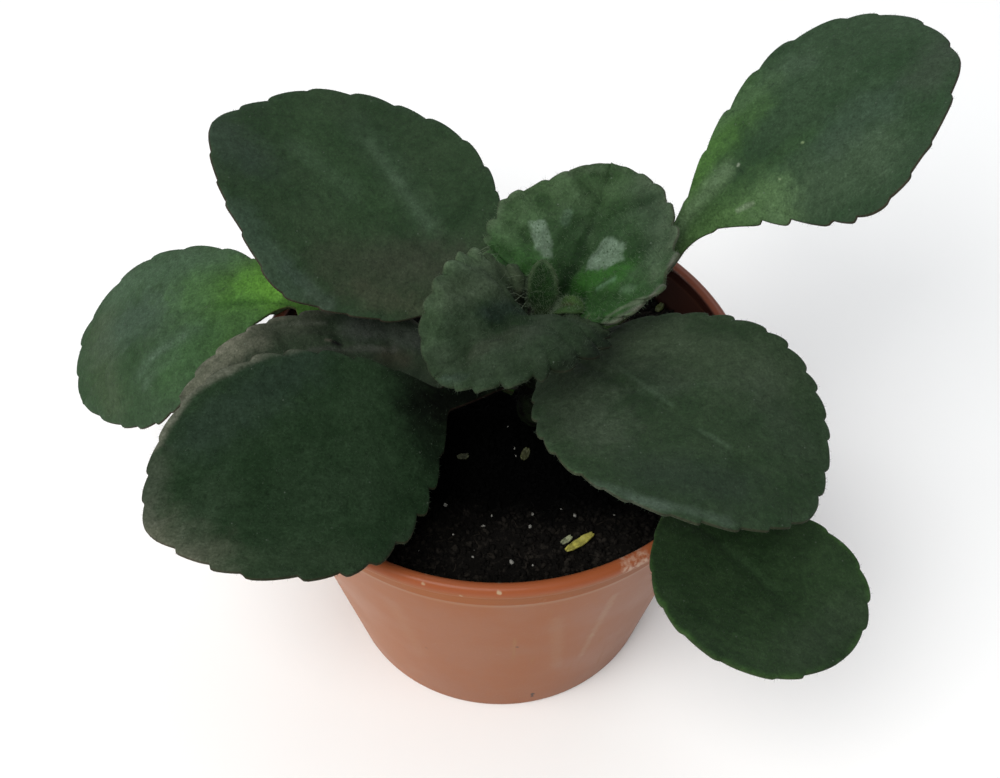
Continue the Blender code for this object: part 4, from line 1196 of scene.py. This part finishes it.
# the pattern of every leaf: sizes, shares and the tints of its pile
velvet = {
    "cloudSize": 15, "cloudShare": 0.65, "patchSize": 4, "patchShare": 0.35, "glowSize": 8, "rayShare": 0.35,
    # the shine tint is a painted highlight, laid on the shiny patches
    "raggedSize": 3.2, "ragged": 1.1, "highlightTint": (0.078, 0.122, 0.076), "highlightShare": 0.90, "poreSize": 0.70,
    # on the next two lines, raised and sunken tint the swellings with painted light and the hollows with
    # painted shade
    "poreRadius": 0.19, "poresKept": 0.75, "poreShare": 0.75, "patchDepth": 9.0, "swellLightShare": 0.35,
    "raised": (1.45, 1.35, 1.5), "hollowShadeShare": 0.5, "sunken": (0.42, 0.55, 0.42), "underShare": 0.8,
    "pileSize": 0.42, "pileShare": 0.6, "napSize": 1.4, "napShare": 0.35, "lighter": (1.75, 1.65, 1.8),
    "darker": (0.50, 0.52, 0.50), "dot": (0.13, 0.165, 0.125), "dotShare": 0.55, "cellSize": 0.8,
    "height": 0.14, "roughness": 0.66, "pileRoughness": 0.14, "sheenPerGloss": 1 / 6,
    "sheenRoughness": 0.4, "sheen": (0.75, 0.85, 0.80),
}


def leafVelvet(name, look, shift):
    f = Finish(name.replace("leaf_", "velvet "))
    rim, vein, swell = f.attribute("rim"), f.attribute("vein"), f.attribute("swell")
    along, across, under = f.attribute("along"), f.attribute("across"), f.attribute("under")
    place = f.node("ShaderNodeVectorMath", {"operation": "ADD"}, {0: f.place, 1: (shift, 0, 0)})

    def tinted(share, colour, tint):
        return f.mix(share, colour, f.mix(1.0, colour, tint, "MULTIPLY"))

    clouds = f.grain(place, velvet["cloudSize"], 3, 0.55) * velvet["cloudShare"]
    clouds = clouds + f.grain(place, velvet["patchSize"], 3, 0.6) * velvet["patchShare"]
    colour = f.mix(f.fade(clouds, 0.36, 0.64), look["deep"], look["fresh"])
    # yellower towards the petiole: the young colour, with painted light shining through the thin base on the
    # brightest leaves
    glow = f.fade(along, look["glowReach"], -0.02) * look["glowShare"]
    colour = f.mix(glow * f.fade(f.grain(place, velvet["glowSize"], 2), 0.2, 0.6), colour, look["glow"])
    # veins
    onBlade = f.fade(along, -0.02, 0.04)
    wander = (f.grain(place, 6, 1) - 0.5) * 0.25
    ray = f.calc("ABSOLUTE", f.calc("FRACT", vein + wander) - 0.5)
    rays = f.fade(ray, 0.44, 0.5) * f.fade(rim, 0.5, 4) * onBlade
    ribLine = f.fade(f.calc("ABSOLUTE", across), 0.75, 0.1) * f.fade(along, 0.95, 0.3)
    broken = f.fade(f.grain(place, 5, 2), 0.38, 0.6)
    lines = ribLine * broken + rays * broken * velvet["rayShare"]
    colour = f.mix(lines * look["rib"] * onBlade, colour, look["ribColour"])
    # margin, paler in places
    patchy = f.fade(f.grain(place, 5, 3), 0.3, 0.62)
    frayed = rim + (f.grain(place, 2, 3) - 0.5) * look["borderWidth"]
    border = f.fade(frayed, look["borderWidth"], 0) * patchy
    colour = f.mix(border * look["borderShare"], colour, look["border"])
    # marks, and shiny patches of painted highlight
    ragged = (f.grain(place, velvet["raggedSize"], 3, 0.6) - 0.5) * velvet["ragged"]
    pores = f.specks(place, velvet["poreSize"], velvet["poreRadius"], velvet["poresKept"])
    flatX = along * look["length"]
    for line, reach, share, tint in look["marks"]:
        colour = f.mix(nearMark(f, flatX, across, line, reach, ragged) * share, colour, tint)
    for corners in look["highlightPatches"]:
        patch = onPatch(f, flatX, across, corners, ragged)
        colour = f.mix(patch * (velvet["highlightShare"] - pores * velvet["poreShare"]), colour, velvet["highlightTint"])
    colour = f.mix(f.fade(rim, 0.26, 0.06) * look["rimShare"], colour, look["rim"])
    # painted light and shade: swellings paler and duller as if lit, hollows darker and deeper green as if
    # shaded
    raised = f.fade(swell, 0.10, 0.55) * look["relief"]
    sunken = f.fade(swell, 0.05, -0.35) * look["relief"]
    colour = tinted(raised * velvet["swellLightShare"], colour, velvet["raised"])
    colour = tinted(sunken * velvet["hollowShadeShare"], colour, velvet["sunken"])
    colour = f.mix(under * f.fade(along, -0.05, 0.15) * velvet["underShare"], colour, look["under"])
    # pile: tiny light hair tips, dark gaps between them and pale dots
    pile = f.grain(place, velvet["pileSize"], 2, 0.7)
    nap = f.grain(place, velvet["napSize"], 2, 0.6)
    light = f.fade(pile, 0.50, 0.74) * velvet["pileShare"] + f.fade(nap, 0.5, 0.72) * velvet["napShare"]
    dark = f.fade(pile, 0.50, 0.28) * velvet["pileShare"] + f.fade(nap, 0.5, 0.28) * velvet["napShare"]
    colour = tinted(light, colour, velvet["lighter"])
    colour = tinted(dark, colour, velvet["darker"])
    dots = f.specks(place, 1.9, 0.20, 0.25) + f.specks(place, 0.9, 0.11, 0.16) * 0.6
    colour = f.mix(dots * look["speckShare"] * velvet["dotShare"], colour, velvet["dot"])
    height = pile * 0.8 + f.cells(place, velvet["cellSize"], "SMOOTH_F1") * 0.7 + nap * 1.2 + dots * 0.5
    roughness = velvet["roughness"] + f.fade(pile, 0.3, 0.7) * velvet["pileRoughness"]
    return f.finish(
        colour, roughness, f.bump(height, velvet["height"]), Specular_IOR_Level=look["gloss"],
        Sheen_Weight=look["gloss"] * velvet["sheenPerGloss"], Sheen_Roughness=velvet["sheenRoughness"],
        Sheen_Tint=velvet["sheen"],
    )


hair = {
    "radius": 0.022, "sides": 3, "segments": 2, "bend": 0.35, "lean": 0.55, "seed": 21,
    "silkLength": 3.2, "silkRadius": 0.034, "silkBend": 0.25, "silkPlace": 1, "silkReach": 5,
    "silkBeside": 1.5, "fringeReach": 0.7, "furUnder": 0.35, "shortest": 0.55, "tallest": 1.25,
    "gloss": 0.4, "paler": 1.6,
}


def hairGrower(name, material, weight="furry"):
    g = Grower(name)
    density, length, lean = g.size("Per square metre"), g.size("Length"), g.size("Lean")
    radius, bend, seed = g.size("Root radius"), g.size("Bend"), g.size("Seed", "Int")
    furry = g.node("GeometryNodeInputNamedAttribute", {"data_type": "FLOAT"}, {"Name": weight})
    sockets = {"Mesh": g.ground, "Density": density * furry, "Seed": seed}
    points = g.node("GeometryNodeDistributePointsOnFaces", {"distribute_method": "RANDOM"}, sockets)
    upright = Wire(g, points.socket.node.outputs["Rotation"])
    sockets = {
        "Vertices": hair["sides"], "Side Segments": hair["segments"], "Radius Top": 0.0,
        "Radius Bottom": radius, "Depth": length,
    }
    strand = g.node("GeometryNodeMeshCone", {"fill_type": "NONE"}, sockets)
    share = g.parts(g.node("GeometryNodeInputPosition"))[2] / length
    swept = g.vector(share * share * length * bend, 0, 0)
    strand = g.node("GeometryNodeSetPosition", {}, {"Geometry": strand, "Offset": swept})
    tall = g.random(hair["shortest"], hair["tallest"], 3)
    sockets = {"Points": points, "Instance": strand, "Rotation": upright, "Scale": g.vector(1, 1, tall)}
    strands = g.node("GeometryNodeInstanceOnPoints", {}, sockets)
    tilt = g.random(g.vector(lean * -1, lean * -1, 0), g.vector(lean, lean, 6.28), 4, "FLOAT_VECTOR")
    strands = g.node("GeometryNodeRotateInstances", {}, {"Instances": strands, "Rotation": tilt})
    g.finish(strands, material)
    return g


def downFinish(name, colour):
    f = Finish(name)
    tone = f.grain(f.place, 3, 2)
    paler = tuple(channel * hair["paler"] for channel in colour)
    return f.finish(f.mix(tone, colour, paler), 0.5 + tone * 0.15, Specular_IOR_Level=hair["gloss"])


# colours of the down, by slot or, where a leaf has its own, by leaf
hairColours = {
    "leaf_dark": (0.022, 0.038, 0.020), "leaf_bright": (0.036, 0.060, 0.034),
    "leaf_aged": (0.040, 0.044, 0.030), "leaf_crown_back": (0.085, 0.125, 0.070),
    "leaf_crown_front": (0.034, 0.052, 0.030), "leaf_bud": (0.075, 0.110, 0.060),
    "stem": (0.006, 0.007, 0.005), "silk": (0.110, 0.140, 0.090),
}


def makeLeaves():
    growers = {}
    silk = hairGrower("silk", downFinish("silk down", hairColours["silk"]), "silky")
    for name, leaf in leaves.items():
        mesh = leafMesh(name + "_velvet", leaf)
        slot = leaf["slot"]
        kind = name if name in hairColours else slot
        if kind not in growers:
            growers[kind] = hairGrower(kind + " hairs", downFinish(kind + " down", hairColours[kind]))
        sizes = {
            "Per square metre": leaf["down"] * perSquareCm, "Length": leaf["hair"] * mm,
            "Lean": hair["lean"], "Root radius": hair["radius"] * mm, "Bend": hair["bend"],
            "Seed": hair["seed"] + leaf["seed"],
        }
        fur = growers[kind].grow(name + "_hairs", mesh.copy(), sizes)
        dress(fur)
        if leaf["silk"]:
            sizes.update({
                "Per square metre": leaf["silk"] * perSquareCm, "Length": hair["silkLength"] * mm,
                "Root radius": hair["silkRadius"] * mm, "Bend": hair["silkBend"],
            })
            dress(silk.grow(name + "_silk", mesh.copy(), sizes))
        look = dict(leafLooks[name], length=leaf["length"])
        dress(newPiece(name + "_velvet", mesh), leafVelvet(name, look, leaf["seed"] * 0.37), name)
        print(name + ":", len(mesh.polygons), "faces,", len(fur.data.polygons), "in hairs")


# Stem

stem = {
    "x": 7.0, "y": 0.0, "foot": 40.0, "top": 79.6, "dome": 0.6, "footRadius": 4.6, "topRadius": 2.4,
    "scarPitch": 3.6, "scarBulge": 0.3, "sides": 48, "rowsPerScar": 10, "knots": 0.25, "seed": 30,
    # the second colour is a browner base darkened with painted shade under the crown
    "green": (0.012, 0.020, 0.008), "shadedBrown": (0.0020, 0.0016, 0.0012), "down": 250, "hair": 1.0,
    "domeRows": 5, "bareBelow": 2.0, "greenAbove": 76, "shadedBelow": 66, "bandShare": 0.6, "shadeShare": 0.4,
}


def stemRadius(height):
    share = (height - stem["foot"]) / (stem["top"] - stem["foot"])
    return stem["footRadius"] + (stem["topRadius"] - stem["footRadius"]) * share


def stemMesh():
    scars = round((stem["top"] - stem["foot"]) / stem["scarPitch"])
    levels = []
    for step in range(scars * stem["rowsPerScar"] + 1):
        phase = step / stem["rowsPerScar"]
        height = stem["foot"] + (stem["top"] - stem["foot"]) * phase / scars
        bulge = stem["scarBulge"] * (0.5 - 0.5 * math.cos(2 * math.pi * phase))
        levels.append((height, stemRadius(height) + bulge))
    for angle in np.linspace(0, math.pi / 2, stem["domeRows"] + 1)[1:-1]:
        levels.append((stem["top"] + stem["dome"] * math.sin(angle), stem["topRadius"] * math.cos(angle)))
    sides = stem["sides"]
    points = []
    for height, radius in levels:
        for side in range(sides):
            turn = 2 * math.pi * side / sides
            knot = noise.noise(Vector((math.cos(turn), math.sin(turn), height / 3 + stem["seed"])))
            reach = radius - stem["knots"] * abs(knot)
            points.append((stem["x"] + reach * math.cos(turn), stem["y"] + reach * math.sin(turn), height))
    faces = []
    for row in range(len(levels) - 1):
        for side in range(sides):
            after = (side + 1) % sides
            low, high = row * sides, (row + 1) * sides
            faces.append((low + side, low + after, high + after, high + side))
    faces.append(list(range(sides))[::-1])
    faces.append([(len(levels) - 1) * sides + side for side in range(sides)])
    mesh = smoothMesh("stem_core", points, faces)
    bareTop = mix["level"] + stem["bareBelow"]
    addAttribute(mesh, "furry", [float(point[2] > bareTop) for point in points])
    return mesh


def makeStem():
    f = Finish("stem skin")
    height = f.parts(f.place)[2]
    bands = f.fade(f.grain(f.stretch(f.place, (1, 1, 3)), 3, 3), 0.4, 0.6)
    # darker towards the bottom: a browner base with painted shade under the crown
    low = f.fade(height, stem["greenAbove"] * mm, stem["shadedBelow"] * mm)
    colour = f.mix(bands * stem["bandShare"] + low * stem["shadeShare"], stem["green"], stem["shadedBrown"])
    skin = f.finish(colour, 0.8, f.bump(f.grain(f.place, 0.7, 3), 0.2), Specular_IOR_Level=0.06)
    mesh = stemMesh()
    grower = hairGrower("stem hairs", downFinish("stem down", hairColours["stem"]))
    sizes = {
        "Per square metre": stem["down"] * perSquareCm, "Length": stem["hair"] * mm,
        "Root radius": hair["radius"] * mm, "Bend": hair["bend"], "Lean": hair["lean"], "Seed": hair["seed"],
    }
    dress(grower.grow("stem_hairs", mesh.copy(), sizes))
    dress(newPiece("stem_core", mesh), skin, "stem")
    print("stem:", len(mesh.polygons), "faces")


# Fallen scraps on the mix

# place, length, width, heading, curl, height above the crumbs and colour of each
scraps = {
    "leaf_chip_flake": dict(
        place=(13.6, -29.9), length=6.1, width=1.5, heading=37.6, curl=0.35, lift=0.45,
        colour=(0.46, 0.42, 0.075),
    ),
    "pale_flake": dict(
        place=(11.4, -29.3), length=2.3, width=1.0, heading=42, curl=0.3, lift=0.3,
        colour=(0.26, 0.28, 0.16),
    ),
    "husk_middle": dict(
        place=(4.5, -10.6), length=2.6, width=1.3, heading=70, curl=0.4, lift=0.2,
        colour=(0.070, 0.076, 0.026),
    ),
    "husk_left": dict(
        place=(-6.6, -11.2), length=2.0, width=1.1, heading=15, curl=0.4, lift=0.2,
        colour=(0.050, 0.056, 0.020),
    ),
    "husk_back": dict(
        place=(30.6, 24.5), length=2.4, width=1.3, heading=60, curl=0.2, lift=0.1,
        colour=(0.060, 0.078, 0.012),
    ),
}
flake = {"rows": 26, "columns": 11, "thickness": 0.34, "crumple": 0.22, "torn": 0.18, "shade": 0.5}


def flakeMesh(name, scrap):
    # a thin curled oval with a torn edge, resting on the highest crumb under it
    rows, columns = flake["rows"], flake["columns"]
    turn = math.radians(scrap["heading"])
    middleX, middleY = scrap["place"]
    bed = max(mixSurface(middleX + dx, middleY + dy) for dx in (-1, 0, 1) for dy in (-1, 0, 1))
    grid = []
    for row in range(rows):
        share = 2 * (row + 0.5) / rows - 1
        half = scrap["width"] / 2 * math.sqrt(1 - share ** 2)
        half *= 1 + flake["torn"] * noise.noise(Vector((share * 4, 0, len(name))))
        for column in range(columns):
            across = 2 * column / (columns - 1) - 1
            long, wide = share * scrap["length"] / 2, across * half
            rise = scrap["curl"] * (across ** 2 + 0.5 * share ** 2)
            rise += flake["crumple"] * noise.noise(Vector((long, wide, len(name))))
            grid.append((
                middleX + long * math.cos(turn) - wide * math.sin(turn),
                middleY + long * math.sin(turn) + wide * math.cos(turn),
                bed + scrap["lift"] + rise,
            ))
    faces = []
    for row in range(rows - 1):
        for column in range(columns - 1):
            corner = row * columns + column
            faces.append((corner, corner + columns, corner + columns + 1, corner + 1))
    return smoothMesh(name, grid, faces)


def makeScraps():
    for name, scrap in scraps.items():
        f = Finish(name.replace("_", " "))
        dark = tuple(channel * flake["shade"] for channel in scrap["colour"])
        colour = f.mix(f.fade(f.grain(f.place, 1.4, 3), 0.38, 0.65), dark, scrap["colour"])
        skin = f.finish(colour, 0.6, f.bump(f.grain(f.place, 0.4, 2), 0.08))
        piece = newPiece(name, flakeMesh(name, scrap))
        solid = piece.modifiers.new("thickness", "SOLIDIFY")
        solid.thickness = flake["thickness"] * mm
        solid.offset = 0
        settle(piece)
        dress(piece, skin, "leaf_chip" if name == "leaf_chip_flake" else None)
    print("scraps:", len(scraps))


# Studio

studio = {
    "cameraPlace": (0.0, -192.8, 293.8), "cameraDip": 50.34, "lens": 60.4, "sensor": 36, "nearest": 10,
    "floorHalf": 2500, "floorDrop": 0.05, "floorColour": (0.93, 0.93, 0.92), "floorShade": (0.88, 0.88, 0.87),
    "sky": (0.92, 0.95, 1.0), "skyStrength": 0.50, "lampAim": (0, 0, 70),
}
# each lamp: where it stands, the size of its panel, its power in watts and its colour; all face the crown
lamps = {
    "key": dict(place=(-220, -520, 900), size=520, power=6.5, colour=(1.0, 0.99, 0.97)),
    "left": dict(place=(-800, -250, 420), size=600, power=3.4, colour=(1.0, 0.98, 0.95)),
    "back": dict(place=(200, 600, 800), size=700, power=2.2, colour=(0.98, 0.99, 1.0)),
}


def makeStudio():
    half, low = studio["floorHalf"], -studio["floorDrop"]
    corners = [(-half, -half, low), (half, -half, low), (half, half, low), (-half, half, low)]
    floor = newPiece("floor", smoothMesh("floor", corners, [(0, 1, 2, 3)]))
    f = Finish("pale floor")
    tone = f.mix(f.grain(f.place, 90, 2) * 0.08, studio["floorColour"], studio["floorShade"])
    floor.data.materials.append(f.finish(tone, 0.85))
    world = bpy.data.worlds.new("pale sky")
    world.use_nodes = True
    sky = world.node_tree.nodes["Background"]
    sky.inputs["Color"].default_value = (*studio["sky"], 1.0)
    sky.inputs["Strength"].default_value = studio["skyStrength"]
    scene.world = world
    target = Vector(studio["lampAim"]) * mm
    for name, lamp in lamps.items():
        light = bpy.data.lights.new(name, "AREA")
        light.shape = "DISK"
        light.size = lamp["size"] * mm
        light.energy = lamp["power"]
        light.color = lamp["colour"]
        stand = newPiece(name, light)
        stand.location = Vector(lamp["place"]) * mm
        stand.rotation_euler = (target - stand.location).to_track_quat("-Z", "Y").to_euler()
    lens = bpy.data.cameras.new("camera")
    lens.lens = studio["lens"]
    lens.sensor_width = studio["sensor"]
    lens.clip_start = studio["nearest"] * mm
    camera = newPiece("camera", lens)
    camera.location = Vector(studio["cameraPlace"]) * mm
    camera.rotation_euler = (math.radians(90 - studio["cameraDip"]), 0, 0)
    scene.camera = camera
    scene.view_settings.view_transform = "Standard"
    print("studio ready")


makePot()
makeMix()
makeStem()
makeScraps()
makeLeaves()
makeStudio()
